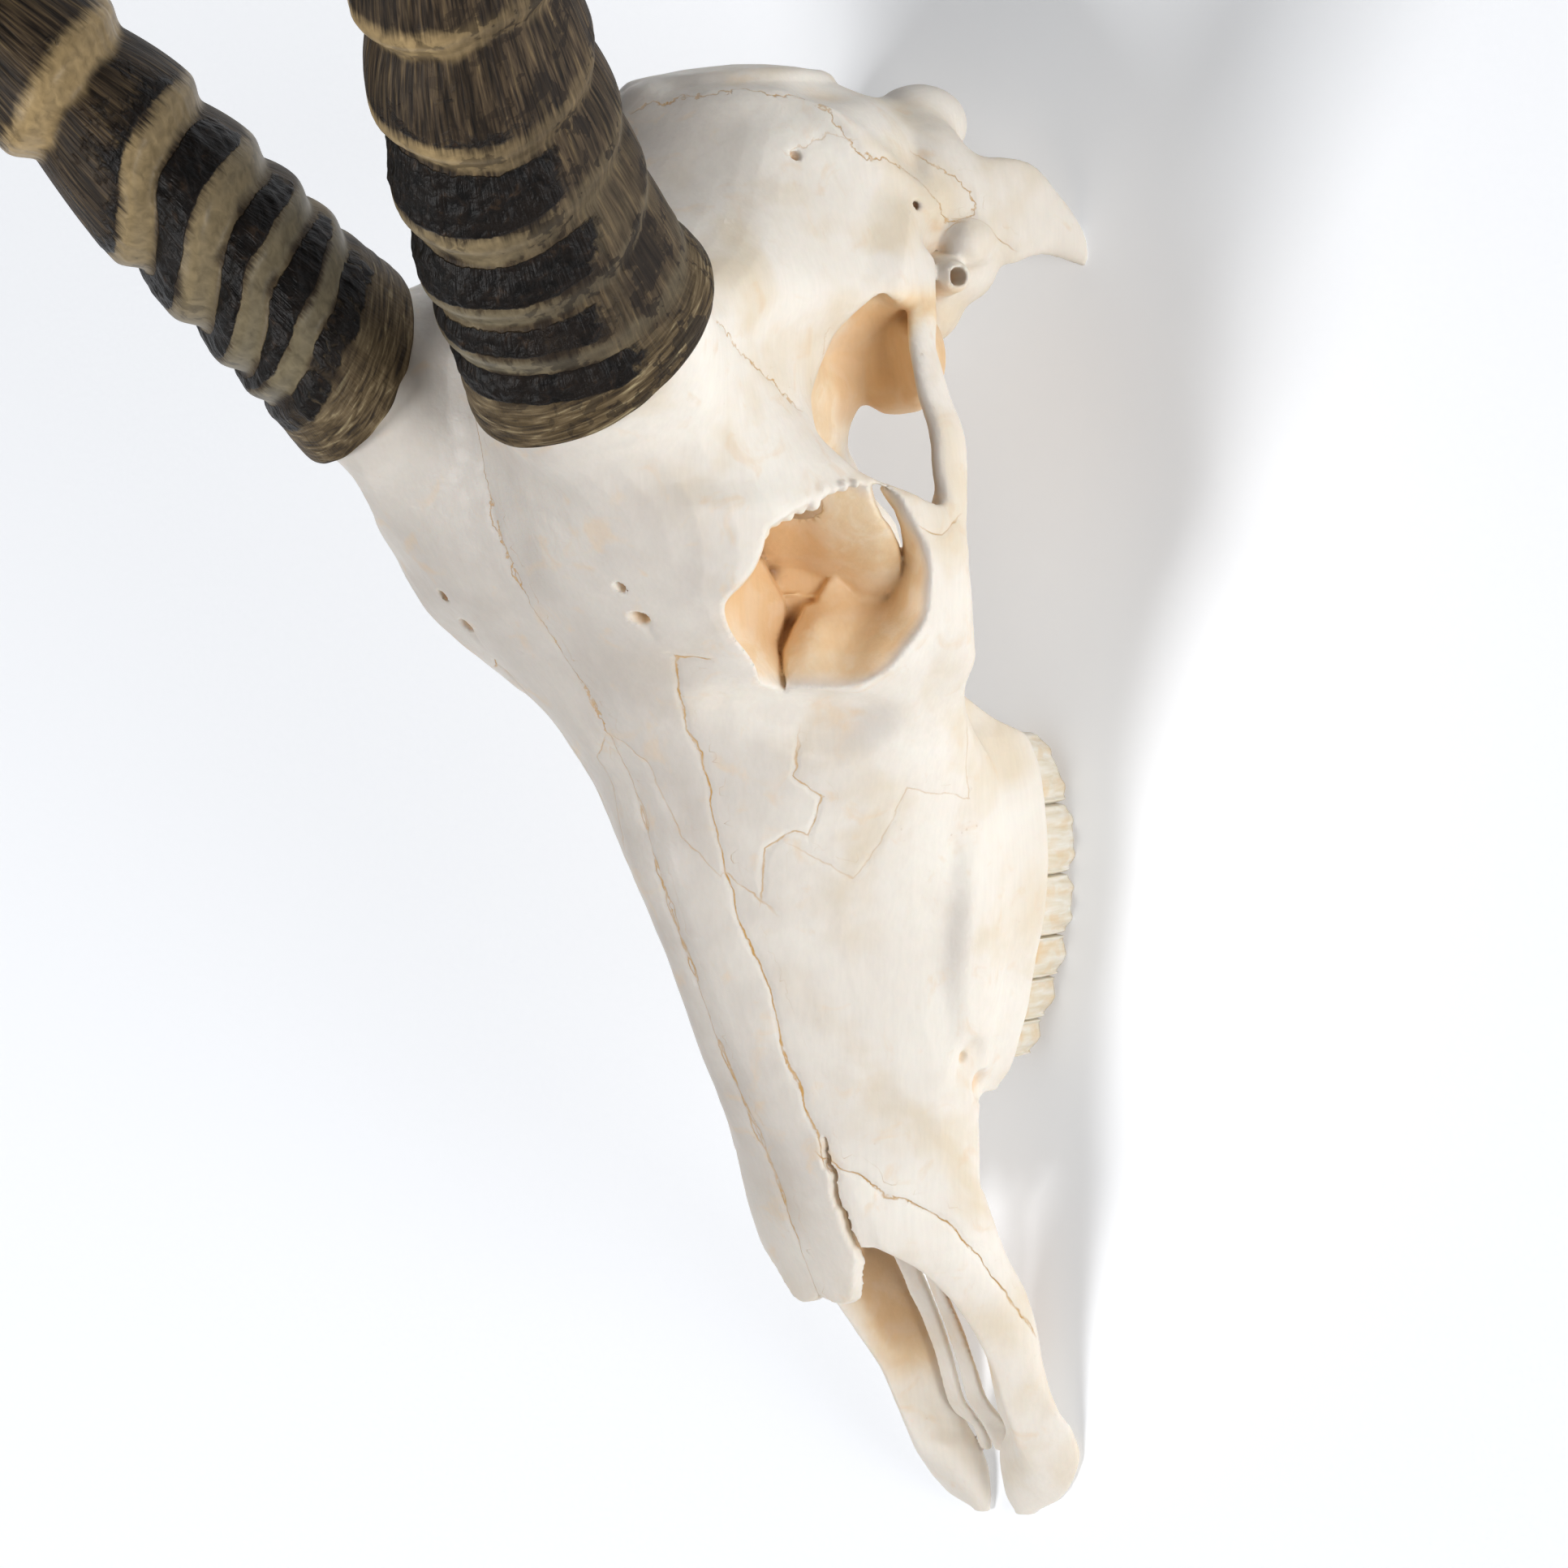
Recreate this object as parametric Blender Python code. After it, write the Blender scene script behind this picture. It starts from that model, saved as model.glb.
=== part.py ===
"""Blesbok skull without its lower jaw: one bony cranium, two ringed horn sheaths and twelve cheek teeth.

The skull rests on its cheek teeth and on the tips of the two processes beside the neck joint. The nose points
along -Y, +Z is up, and the plane X = 0 is the plane of symmetry. Tables are in millimetres with Y measured
backwards from the tip of the nose; everything is turned into metres as it becomes a mesh.
"""

import math

import bmesh
import bpy
import numpy as np
from mathutils import Vector

MM = 0.001
ORIGIN_Y = 247.5  # from the tip of the nose to the middle of the bounding box
FIT_GAP = 0.3

# Half outlines of the skull's main body: (x, z) from the midline of the roof, round the side, to the midline
# of the underside.
BODY_SECTIONS = {
    66: [(0, 59), (8, 58.6), (15, 56), (18.5, 49), (21.5, 40), (23.5, 32.5), (23, 26.5), (13, 24), (0, 23.5)],
    72: [(0, 61.5), (8.5, 61), (15.5, 58), (19, 50.5), (22, 41), (24, 32.5), (23.5, 26.5), (13, 24), (0, 23.5)],
    84: [(0, 66), (8, 65.6), (14.5, 62.3), (18.5, 55), (22.5, 45), (25, 35), (24, 26.5), (13, 24.5), (0, 24)],
    98: [(0, 73), (7, 72.5), (13, 67.6), (18, 60), (23.5, 48), (26.5, 37), (26, 27), (14, 25), (0, 25.5)],
    112: [(0, 79.6), (7, 79), (13, 73), (18, 65), (24, 52.5), (28.5, 40), (29, 27), (15, 26), (0, 27)],
    130: [(0, 86.6), (7, 85.9), (13, 80), (18.5, 71.5), (25.5, 57.5), (31, 42), (32.5, 27), (16, 27), (0, 28.5)],
    150: [(0, 94.3), (8, 93.5), (15, 88), (22.5, 79.3), (30.5, 64.5), (35.5, 46), (35, 28), (18, 29), (0, 30)],
    168: [(0, 99.6), (9, 99), (18, 94), (30, 81.5), (38.5, 67), (41.5, 50), (36, 30), (20, 31), (0, 31)],
    178: [(0, 104.8), (10, 104.3), (21, 98.3), (33, 86.5), (43, 70), (46, 54), (40, 38), (22, 33), (0, 32)],
    186: [(0, 109.5), (12, 109.2), (24, 103.2), (36, 92), (47, 77), (50.5, 60), (48, 47), (24, 38), (0, 38)],
    193: [(0, 114), (14, 113.8), (28, 108), (41, 97.5), (53, 80), (54.5, 63), (53.5, 49), (26, 43), (0, 43)],
    201: [(0, 119.8), (15, 119.8), (30, 115.5), (44.5, 106.5), (55.5, 84), (57.5, 66), (54.5, 50), (26, 46), (0, 46)],
    210: [(0, 126.8), (17, 127.2), (33, 122.8), (48, 113.5), (57.8, 87), (58.8, 67), (55.5, 51), (25, 47), (0, 47)],
    219: [(0, 132), (18, 132.8), (36, 128.3), (51.5, 114.5), (58.5, 87), (58.5, 68), (55.5, 55), (24, 47), (0, 47)],
    226: [(0, 134.5), (19, 135.7), (38, 132.5), (52, 116.5), (57, 90), (57.5, 74), (53.5, 59), (24, 47), (0, 46)],
    233: [(0, 135.9), (19, 138.5), (36, 138.3), (49.5, 118), (54, 95), (51.5, 77), (41, 61), (18, 48), (0, 46)],
    241: [(0, 137), (18, 143), (31, 145.5), (49, 122), (50, 97), (43, 77), (31, 60), (15, 46), (0, 42)],
    250: [(0, 138), (18, 147), (35, 149), (51, 126), (46.5, 98), (39, 77), (31, 57), (16, 40), (0, 32.5)],
    260: [(0, 138), (17, 147), (37, 147), (51.5, 124), (43, 96), (38, 74), (34, 55), (20, 34), (0, 23)],
    270: [(0, 133), (16, 139), (35, 137), (48, 117), (40, 90), (38.5, 70), (38, 52), (20, 28), (0, 17)],
    282: [(0, 121), (17, 121), (32, 114), (39.5, 97), (39, 79), (40, 64), (38, 45), (18, 22), (0, 14)],
    294: [(0, 104.7), (16, 104), (26.5, 97), (34, 86), (38, 71), (39.5, 57), (35, 39), (16, 20), (0, 13)],
    304: [(0, 94.2), (13.5, 93.7), (22.5, 88.8), (31, 79), (35.5, 65), (36.5, 51), (31, 36), (15, 20), (0, 14)],
    311: [(0, 88), (12, 87.5), (21.5, 82), (28, 71), (31, 59), (30, 48), (24, 36), (13, 26), (0, 22)],
    316: [(0, 81), (9, 80.5), (16, 75), (20, 66), (21, 57), (19, 49), (14, 42), (8, 38), (0, 37)],
    319: [(0, 73), (5, 72.5), (8.5, 70), (10.5, 66), (10.5, 61), (9, 56), (6.5, 53), (3.5, 51.5), (0, 51)],
}

# The two nasal bones roof the front of the nose as one thin arched plate: y: (ridge z, half width, droop).
NASAL_SECTIONS = {
    53: (50.5, 6, 0.8),
    55.5: (52.3, 10, 1.4),
    60: (55.0, 13.5, 2.0),
    68: (59.7, 15, 2.8),
    80: (64.6, 14.6, 3.4),
    94: (71.0, 13, 4.5),
}
NASAL_THICKNESS = 4.0

# Plates and bars given as y: (x, z) of one edge, (x, z) of the other edge, and the thickness between faces.
PREMAXILLA_SECTIONS = {
    0.5: ((10, 1.3), (4, 2.0), 2.2),
    4: ((17, 1.6), (3, 4.0), 4.0),
    9: ((22.5, 2.2), (2.6, 6.5), 5.4),
    14: ((24.3, 3.2), (5.5, 10.5), 6.6),
    20: ((23.5, 4.8), (12, 15), 6.4),
    27: ((22.6, 7.2), (16, 19.5), 5.6),
    34: ((22.6, 9.6), (17, 23), 5.0),
    44: ((22.6, 12), (17, 29.5), 4.5),
    54: ((23, 19.5), (17, 35), 4.2),
    62: ((23.5, 23.5), (16.5, 46), 4.0),
    68: ((23.5, 25.5), (15, 56), 4.2),
    82: ((24, 27), (15.5, 58), 4.2),
}
PALATINE_SECTIONS = {
    15: ((2.2, 6.5), (4.6, 9.5), 2.6),
    30: ((3, 10), (5, 15), 2.8),
    50: ((4.2, 16.5), (6, 22.5), 3.0),
    64: ((5, 21.5), (7, 28), 3.4),
    76: ((6, 23), (8, 29), 3.6),
}
# The ridge of bone that holds the cheek teeth: y: (inner x, outer x, bottom z, top z).
ALVEOLAR_SECTIONS = {
    97.5: (17, 23, 17, 30),
    101: (14, 25, 15, 33),
    106: (13, 26.8, 14.2, 35),
    115: (12.5, 30, 13, 36),
    125: (13.5, 33, 12, 38),
    137: (14.5, 35.8, 10.5, 38),
    150: (15.5, 37, 9.2, 38),
    163: (16.5, 36.4, 9.2, 38),
    173: (18, 35, 11, 38),
    180: (20, 34, 17, 40),
    187: (22, 33, 27, 42),
}
PTERYGOID_SECTIONS = {
    180: ((15, 30), (17, 46), 4.0),
    195: ((12.5, 28), (16, 52), 3.6),
    212: ((11.5, 27), (16, 54), 3.4),
    220: ((11.5, 28.5), (16.5, 54), 3.4),
    228: ((12.5, 37), (17, 54), 3.4),
    240: ((14, 46.5), (17, 56), 3.6),
}
# Cheekbone arches and the processes beside the neck joint: (x, y, z), half width across, half height.
ARCH_PATH = [
    ((40, 274, 47), 3.5, 4.5),
    ((45, 266, 51), 2.8, 3.4),
    ((48.2, 257, 55.5), 2.3, 2.7),
    ((51.8, 247, 56.9), 2.6, 3.6),
    ((54.8, 237, 56.8), 2.8, 4.2),
    ((54.8, 227, 57.2), 3.0, 3.8),
    ((54.5, 216, 58.5), 3.6, 5.4),
]
PAROCCIPITAL_PATH = [
    ((35, 290, 38), 5.0, 9.0),
    ((38.5, 289, 27), 4.2, 9.0),
    ((41.5, 286.5, 17), 3.2, 7.4),
    ((44, 282, 8), 2.5, 4.8),
    ((45.5, 277.5, -1.0), 2.0, 2.2),
]
MEATUS_PATH = [((30, 273, 33), 5.5, 5.5), ((39, 275, 35), 4.8, 4.8), ((46, 276.5, 37.5), 4.4, 4.4)]

# Rounded lumps: centre and the three half axes.
CONDYLE = ((20.5, 307.5, 22), (8.5, 8.5, 12))
BULLA = ((26.5, 271, 30), (8.5, 12, 9.5))
EAR_SWELLING = ((33, 276, 25), (6.5, 8.5, 9))
GLENOID = ((38, 255, 50), (9, 8, 5))

# The rim of the left eye socket, from above its front corner backwards, and the rings of its hollow.
ORBIT_RIM = [
    (40, 199, 107),
    (42.5, 205.5, 111),
    (46.5, 214, 110.5),
    (51, 221, 106),
    (54, 227, 96),
    (56, 229, 83),
    (56.5, 222, 72.5),
    (57, 211, 67.5),
    (56.5, 199, 70),
    (53.5, 190.5, 76.5),
    (47.5, 187, 87),
    (41, 190, 98),
]
ORBIT_OUTWARD = (0.86, -0.04, 0.51)
ORBIT_RINGS = [(16, 1.25), (0, 1.0), (-8, 1.03), (-16, 0.92), (-24, 0.72), (-30, 0.42)]
ORBIT_FLAT_DEPTH = -10  # deeper than this the rings of the hollow lie in one plane

# The hollow behind the eye socket, inside the cheekbone arch: y: outline of (x, z).
TEMPORAL_SECTIONS = {
    213: [(34, 56), (40, 56), (44, 54.5), (46, 52.5), (46.5, 50), (46, 47), (44, 42), (32, 41), (29, 48), (31, 54)],
    221: [(35, 74), (43, 73), (48, 67), (50.5, 63.5), (51, 60), (50.5, 56), (45, 39), (24, 36), (23.5, 51), (29, 66)],
    228: [(34, 92), (43, 90), (51, 77), (62, 69), (62, 62), (51, 58), (46, 37), (20, 34), (20.5, 50), (27, 74)],
    235: [(35, 88), (42, 87), (48, 82), (62, 77), (62, 62), (51, 58), (50, 38), (20, 34), (20.5, 49), (29, 70)],
    241: [(36, 84), (42, 84), (48, 83), (59, 81), (58, 62), (49.5, 58), (49, 41), (26, 37), (24, 48), (29, 64)],
    247: [(38, 72), (42, 73), (46, 71.5), (54, 70), (54, 62.5), (47.8, 58), (45, 51), (38, 50), (34, 56), (34.5, 66)],
    256: [(39.5, 68), (42.5, 67.5), (44, 65), (45, 63), (45, 60), (44.5, 57), (42.5, 53.5), (39.5, 53.5), (37, 58),
          (37.5, 63)],
    264: [(40, 60.5), (41, 60.5), (41.8, 59.8), (42.4, 59), (42.5, 58), (42.4, 57), (41.5, 55.5), (40, 56), (39, 57),
          (39, 59)],
}
# The hollow of the nose, open in front: y: half outline from the roof's midline to the floor's.
NASAL_CAVITY_SECTIONS = {
    56: [(0, 48.5), (8, 48), (13, 46), (15, 40), (17, 34), (17, 30), (8, 29), (0, 29)],
    66: [(0, 54), (8, 53.5), (12.5, 51), (15.5, 45), (18.5, 37), (19, 30.5), (8, 29), (0, 29)],
    90: [(0, 64), (6, 63.5), (10.5, 60), (15, 52), (19, 42), (20.5, 31.5), (9, 30), (0, 30)],
    120: [(0, 76), (6, 75), (10.5, 70), (15, 62), (20.5, 50), (23.5, 42), (9, 34), (0, 33)],
    150: [(0, 84), (5, 83), (9, 78), (14, 70), (18, 58), (18, 46), (8, 40), (0, 39)],
    160: [(0, 78), (3, 77), (5, 74), (7, 68), (8, 60), (7, 52), (3, 48), (0, 47)],
}
FORAMEN_MAGNUM = ((0, 308, 31), (10.5, 30, 8.5))

# Horn sheaths. The centre line starts inside the brow, at HORN_ROOT, and turns by its splay (away from the
# midline) and its rise (above the horizontal) as the distance s along it grows.
HORN_ROOT = (33.4, 251.0, 129.6)
HORN_BASE_S = 17.0
HORN_TIP_S = 380.0
HORN_HEADING = [
    (0, 12.2, 41.9),
    (120, 24.9, 36.9),
    (160, 27.0, 36.3),
    (200, 26.0, 38.5),
    (245, 20.0, 45.0),
    (290, 11.0, 55.0),
    (335, 2.0, 66.0),
    (380, -6.0, 74.0),
]
# The sheath is oval: distance, half its long axis, half its short axis, turn of the long axis in degrees.
HORN_OVAL = [
    (0, 30.0, 21.6, -41.0),
    (17, 28.6, 20.6, -43.7),
    (30, 26.6, 18.8, -46.0),
    (60, 24.4, 18.2, -50.5),
    (120, 20.4, 17.0, -60.0),
    (200, 16.4, 14.8, -68.0),
    (280, 12.0, 11.2, -72.0),
    (340, 7.0, 6.8, -74.0),
    (374, 2.6, 2.5, -75.0),
]
# The base rim and the rings lean on the sheath: their distance shifts by this much round the oval.
HORN_LEAN = (5.8, -7.3)
HORN_SIDES = 14
# Crests of the rings, which stand proudest on the front of the horn and lower from RING_FADE_S on.
HORN_RING_S = [35, 48, 65, 88, 115, 141, 165, 187, 208, 228, 246, 262]
HORN_RING_HEIGHT = 2.6
HORN_RING_WIDTH = 4.0
RING_FRONT_TURN = 140
RING_BACK_SHARE = 0.4
RING_FADE_S = 180
RING_FADE_LENGTH = 120
HORN_SMOOTH_S = [280, 300, 318, 335, 350, 363, 372, 377]
# The bony stub in each sheath: its overhang, and its depth along the horn with its width there.
PEDICLE_INSET = 3.0
PEDICLE_RINGS = [(-30.0, 0.55), (-18.0, 0.85), (-8.0, 0.97), (4.0, 1.0)]
SEAT_TRIM_RADIUS = 33.0
SEAT_TRIM_HEIGHT = 30.0

# Cheek teeth, front to back: name, front y, back y, outer x at each end, width across, columns on the cheek
# side, and the height of the bite above the ground at each end.
TEETH = [
    ("premolar_2", 103.0, 110.6, 22.6, 25.2, 8.5, 1, 4.0, 1.6),
    ("premolar_3", 111.0, 119.8, 25.6, 28.8, 11.0, 1, 1.6, 0.4),
    ("premolar_4", 120.2, 129.0, 29.2, 32.0, 12.6, 1, 0.4, 0.0),
    ("molar_1", 129.4, 142.4, 32.4, 34.8, 14.6, 2, 0.0, 0.0),
    ("molar_2", 142.8, 157.8, 35.2, 35.6, 15.6, 2, 0.0, 0.3),
    ("molar_3", 158.2, 173.6, 35.4, 32.4, 14.6, 2, 0.5, 4.6),
]
TOOTH_TOP_Z = 24.0
TOOTH_RIB = 1.1
TOOTH_LEVELS = [(0.0, -1.6, 0.97), (0.3, -0.4, 1.0), (1.0, 0.6, 0.94)]  # share of the height, lean, width
SOCKET_CLEARANCE = 0.45
SOCKET_INNER_ROOM = 0.95
SOCKET_BOTTOM_Z = -6.0

GROUND_TRIM = (0.3, 0.6, 0.04)

FORM_VOXEL = 1.9
FINE_VOXEL = 1.5
CRANIUM_SHARE = 0.034

BONE = ("bleached_bone", (0.86, 0.81, 0.74), 0.55)
KERATIN = ("horn_keratin", (0.23, 0.19, 0.14), 0.6)
ENAMEL = ("tooth_enamel", (0.87, 0.83, 0.68), 0.35)


def clear_scene():
    for obj in list(bpy.data.objects):
        bpy.data.objects.remove(obj, do_unlink=True)


def make_material(spec):
    name, colour, roughness = spec
    material = bpy.data.materials.new(name)
    material.use_nodes = True
    shader = material.node_tree.nodes["Principled BSDF"]
    shader.inputs["Base Color"].default_value = (*colour, 1.0)
    shader.inputs["Roughness"].default_value = roughness
    shader.inputs["Metallic"].default_value = 0.0
    material.diffuse_color = (*colour, 1.0)
    return material


def to_metres(points):
    """Table coordinates to the part's own frame."""
    return (np.asarray(points, float) - np.array([0.0, ORIGIN_Y, 0.0])) * MM


def mirrored(rings):
    return [np.asarray(ring, float) * np.array([-1.0, 1.0, 1.0]) for ring in rings]


def smooth_table(table, step):
    """The rows of a table keyed by y, with rows added about every `step` mm by a monotone cubic."""
    keys = np.array(sorted(table), float)
    rows = np.array([np.ravel(np.array(flat(table[key]), float)) for key in sorted(table)])
    wanted = [keys[0]]
    for a, b in zip(keys[:-1], keys[1:]):
        count = max(1, round((b - a) / step))
        wanted.extend(a + (b - a) * (i + 1) / count for i in range(count))
    wanted = np.array(wanted)
    return wanted, hermite(keys, rows, wanted)


def flat(row):
    values = []
    for item in row:
        if isinstance(item, tuple):
            values.extend(item)
        else:
            values.append(item)
    return values


def hermite(keys, rows, wanted):
    """Cubic through the rows whose slopes never overshoot a neighbour."""
    rows = np.asarray(rows, float)
    if rows.ndim == 1:
        rows = rows[:, None]
    gap = np.diff(keys)[:, None]
    chord = np.diff(rows, axis=0) / gap
    slope = np.zeros_like(rows)
    same = chord[:-1] * chord[1:] > 0
    slope[1:-1] = np.where(same, 2 * chord[:-1] * chord[1:] / np.where(same, chord[:-1] + chord[1:], 1), 0)
    slope[0] = chord[0]
    slope[-1] = chord[-1]
    index = np.clip(np.searchsorted(keys, wanted, side="right") - 1, 0, len(keys) - 2)
    width = gap[index]
    t = (np.asarray(wanted) - keys[index])[:, None] / width
    return (
        rows[index] * (2 * t**3 - 3 * t**2 + 1)
        + slope[index] * width * (t**3 - 2 * t**2 + t)
        + rows[index + 1] * (3 * t**2 - 2 * t**3)
        + slope[index + 1] * width * (t**3 - t**2)
    )


def round_outline(points, per_span):
    """Closed outline through the points, as a Catmull-Rom spline."""
    points = np.asarray(points, float)
    before = np.roll(points, 1, axis=0)
    after = np.roll(points, -1, axis=0)
    beyond = np.roll(points, -2, axis=0)
    out = []
    for i in range(per_span):
        t = i / per_span
        out.append(
            0.5
            * (
                2 * points
                + (after - before) * t
                + (2 * before - 5 * points + 4 * after - beyond) * t**2
                + (3 * points - before - 3 * after + beyond) * t**3
            )
        )
    return np.stack(out, axis=1).reshape(-1, points.shape[1])


def whole_outline(half):
    """A half outline and its mirror image, as one closed outline."""
    half = np.asarray(half, float)
    return np.concatenate([half, half[-2:0:-1] * np.array([-1.0, 1.0])])


def at_y(outline, y):
    return np.column_stack([outline[:, 0], np.full(len(outline), y), outline[:, 1]])


def add_loft(form, rings):
    """Skins a row of equal rings and closes both ends, inside the bmesh `form`."""
    loops = [[form.verts.new(Vector(point)) for point in to_metres(ring)] for ring in rings]
    faces = []
    for near, far in zip(loops[:-1], loops[1:]):
        for i in range(len(near)):
            j = (i + 1) % len(near)
            faces.append(form.faces.new((near[i], near[j], far[j], far[i])))
    faces.append(form.faces.new(loops[0][::-1]))
    faces.append(form.faces.new(loops[-1]))
    bmesh.ops.recalc_face_normals(form, faces=faces)


def add_pair(form, rings):
    add_loft(form, rings)
    add_loft(form, mirrored(rings))


def body_rings():
    ys, rows = smooth_table(BODY_SECTIONS, 4.0)
    return [at_y(round_outline(whole_outline(row.reshape(-1, 2)), 2), y) for y, row in zip(ys, rows)]


def nasal_rings():
    ys, rows = smooth_table(NASAL_SECTIONS, 4.0)
    rings = []
    for y, (ridge, half, droop) in zip(ys, rows):
        across = np.array([0.0, 0.35, 0.7, 1.0])
        top = np.column_stack([across * half, ridge - droop * across**2])
        under = np.column_stack([across[:3] * half * 0.96, ridge - droop * across[:3] ** 2 - NASAL_THICKNESS])
        rings.append(at_y(whole_outline(np.concatenate([top, under[::-1]])), y))
    return rings


def plate_rings(table):
    """A flat oval section between two edges, carried along y."""
    ys, rows = smooth_table(table, 5.0)
    turn = np.linspace(0, 2 * math.pi, 14, endpoint=False)
    rings = []
    for y, row in zip(ys, rows):
        near = row[0:2]
        far = row[2:4]
        along = (far - near) / 2
        across = np.array([-along[1], along[0]]) / np.linalg.norm(along) * row[4] / 2
        bulge = np.sign(np.sin(turn)) * np.abs(np.sin(turn)) ** 0.8
        outline = (near + far) / 2 + np.outer(np.cos(turn), along) + np.outer(bulge, across)
        rings.append(at_y(outline, y))
    return rings


def alveolar_rings():
    ys, rows = smooth_table(ALVEOLAR_SECTIONS, 5.0)
    turn = np.linspace(0, 2 * math.pi, 16, endpoint=False)
    rings = []
    for y, (inner, outer, bottom, top) in zip(ys, rows):
        c = np.sign(np.cos(turn)) * np.abs(np.cos(turn)) ** 0.6
        s = np.sign(np.sin(turn)) * np.abs(np.sin(turn)) ** 0.6
        x = (inner + outer) / 2 + c * (outer - inner) / 2
        z = (bottom + top) / 2 + s * (top - bottom) / 2
        rings.append(at_y(np.column_stack([x, z]), y))
    return rings


def tube_rings(path, upright=(0, 0, 1), sides=12):
    """Oval rings square to a path of (point, half width, half height)."""
    points = np.array([p for p, _, _ in path], float)
    sizes = np.array([[w, h] for _, w, h in path], float)
    steps = np.arange(len(path), dtype=float)
    wanted = np.linspace(0, len(path) - 1, (len(path) - 1) * 3 + 1)
    centres = hermite(steps, points, wanted)
    halves = hermite(steps, sizes, wanted)
    ahead = np.gradient(centres, axis=0)
    ahead /= np.linalg.norm(ahead, axis=1)[:, None]
    across = np.cross(ahead, np.array(upright, float))
    across /= np.linalg.norm(across, axis=1)[:, None]
    up = np.cross(across, ahead)
    turn = np.linspace(0, 2 * math.pi, sides, endpoint=False)
    return [
        c + np.outer(np.cos(turn) * w, a) + np.outer(np.sin(turn) * h, u)
        for c, (w, h), a, u in zip(centres, halves, across, up)
    ]


def ellipsoid_rings(centre, halves, sides=16, bands=10):
    angles = np.linspace(-math.pi / 2, math.pi / 2, bands + 1)[1:-1]
    turn = np.linspace(0, 2 * math.pi, sides, endpoint=False)
    rings = []
    for a in angles:
        ring = np.column_stack(
            [
                np.cos(turn) * math.cos(a) * halves[0],
                np.full(sides, math.sin(a) * halves[1]),
                np.sin(turn) * math.cos(a) * halves[2],
            ]
        )
        rings.append(ring + np.array(centre, float))
    return rings


def horn_frames(distances):
    """Centre, forward, sideways and upward directions of the left horn at each distance s."""
    table = np.array(HORN_HEADING, float)
    fine = np.linspace(0, HORN_TIP_S, 761)
    angles = np.radians(hermite(table[:, 0], table[:, 1:], fine))
    splay = angles[:, 0]
    rise = angles[:, 1]
    ahead = np.column_stack([np.sin(splay), np.cos(splay) * np.cos(rise), np.cos(splay) * np.sin(rise)])
    step = fine[1] - fine[0]
    way = np.vstack([np.zeros(3), np.cumsum((ahead[:-1] + ahead[1:]) / 2 * step, axis=0)]) + np.array(HORN_ROOT)
    centre = np.column_stack([np.interp(distances, fine, way[:, i]) for i in range(3)])
    forward = np.column_stack([np.interp(distances, fine, ahead[:, i]) for i in range(3)])
    forward /= np.linalg.norm(forward, axis=1)[:, None]
    side = np.cross(forward, [0.0, 0.0, 1.0])
    side /= np.linalg.norm(side, axis=1)[:, None]
    return centre, forward, side, np.cross(side, forward)


def horn_oval(distances, turn, margin):
    """Points of the leaning oval at each distance s, `margin` outside the bare sheath. Rows are distances."""
    table = np.array(HORN_OVAL, float)
    size = hermite(table[:, 0], table[:, 1:], np.clip(distances, 0, table[-1, 0]))
    lean = np.interp(distances, [HORN_BASE_S, 90, HORN_TIP_S - 40, HORN_TIP_S], [1.0, 0.75, 0.3, 0.0])
    shift = HORN_LEAN[0] * np.cos(turn) + HORN_LEAN[1] * np.sin(turn)
    shifted = np.asarray(distances)[:, None] + lean[:, None] * shift
    points = []
    for s_row, (long_half, short_half, twist), out in zip(shifted, size, margin):
        centre, _, side, up = horn_frames(np.clip(s_row, 0, HORN_TIP_S))
        angle = math.radians(twist)
        long_way = math.cos(angle) * side + math.sin(angle) * up
        short_way = -math.sin(angle) * side + math.cos(angle) * up
        across = np.cos(turn)[:, None] * long_way * (long_half + out)[:, None]
        points.append(centre + across + np.sin(turn)[:, None] * short_way * (short_half + out)[:, None])
    return points


def horn_stations():
    """Distances along the horn that give each ring a crest and a foot on both sides."""
    stations = [HORN_BASE_S]
    for here, after in zip(HORN_RING_S, HORN_RING_S[1:] + [HORN_RING_S[-1] + 16]):
        stations.extend([here - HORN_RING_WIDTH, here, here + HORN_RING_WIDTH])
        if after - here > 18:
            stations.append((here + after) / 2)
    return np.array(stations + HORN_SMOOTH_S, float)


def horn_rings():
    s = horn_stations()
    turn = np.linspace(0, 2 * math.pi, HORN_SIDES, endpoint=False)
    facing = 0.5 + 0.5 * np.cos(turn - math.radians(RING_FRONT_TURN))
    front = RING_BACK_SHARE + (1 - RING_BACK_SHARE) * facing
    margin = np.zeros((len(s), HORN_SIDES))
    for ring_s in HORN_RING_S:
        fade = min(1.0, 1 - (ring_s - RING_FADE_S) / RING_FADE_LENGTH)
        margin += fade * HORN_RING_HEIGHT * np.exp(-(((s - ring_s) / HORN_RING_WIDTH) ** 2))[:, None] * front
    rings = horn_oval(s, turn, margin)
    tip = rings[-1].mean(axis=0)
    rings[-1] = tip + (rings[-1] - tip) * 0.5
    flatten_base(rings[0], FIT_GAP)
    return rings


def base_plane():
    """Middle and outward normal of the flat seat under the horn."""
    turn = np.linspace(0, 2 * math.pi, 24, endpoint=False)
    ring = horn_oval(np.array([HORN_BASE_S]), turn, np.zeros((1, 24)))[0]
    middle = ring.mean(axis=0)
    normal = np.linalg.svd(ring - middle)[2][2]
    return middle, normal * np.sign(normal[2])


def flatten_base(ring, lift):
    middle, normal = base_plane()
    ring -= np.outer((ring - middle) @ normal - lift, normal)


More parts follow.
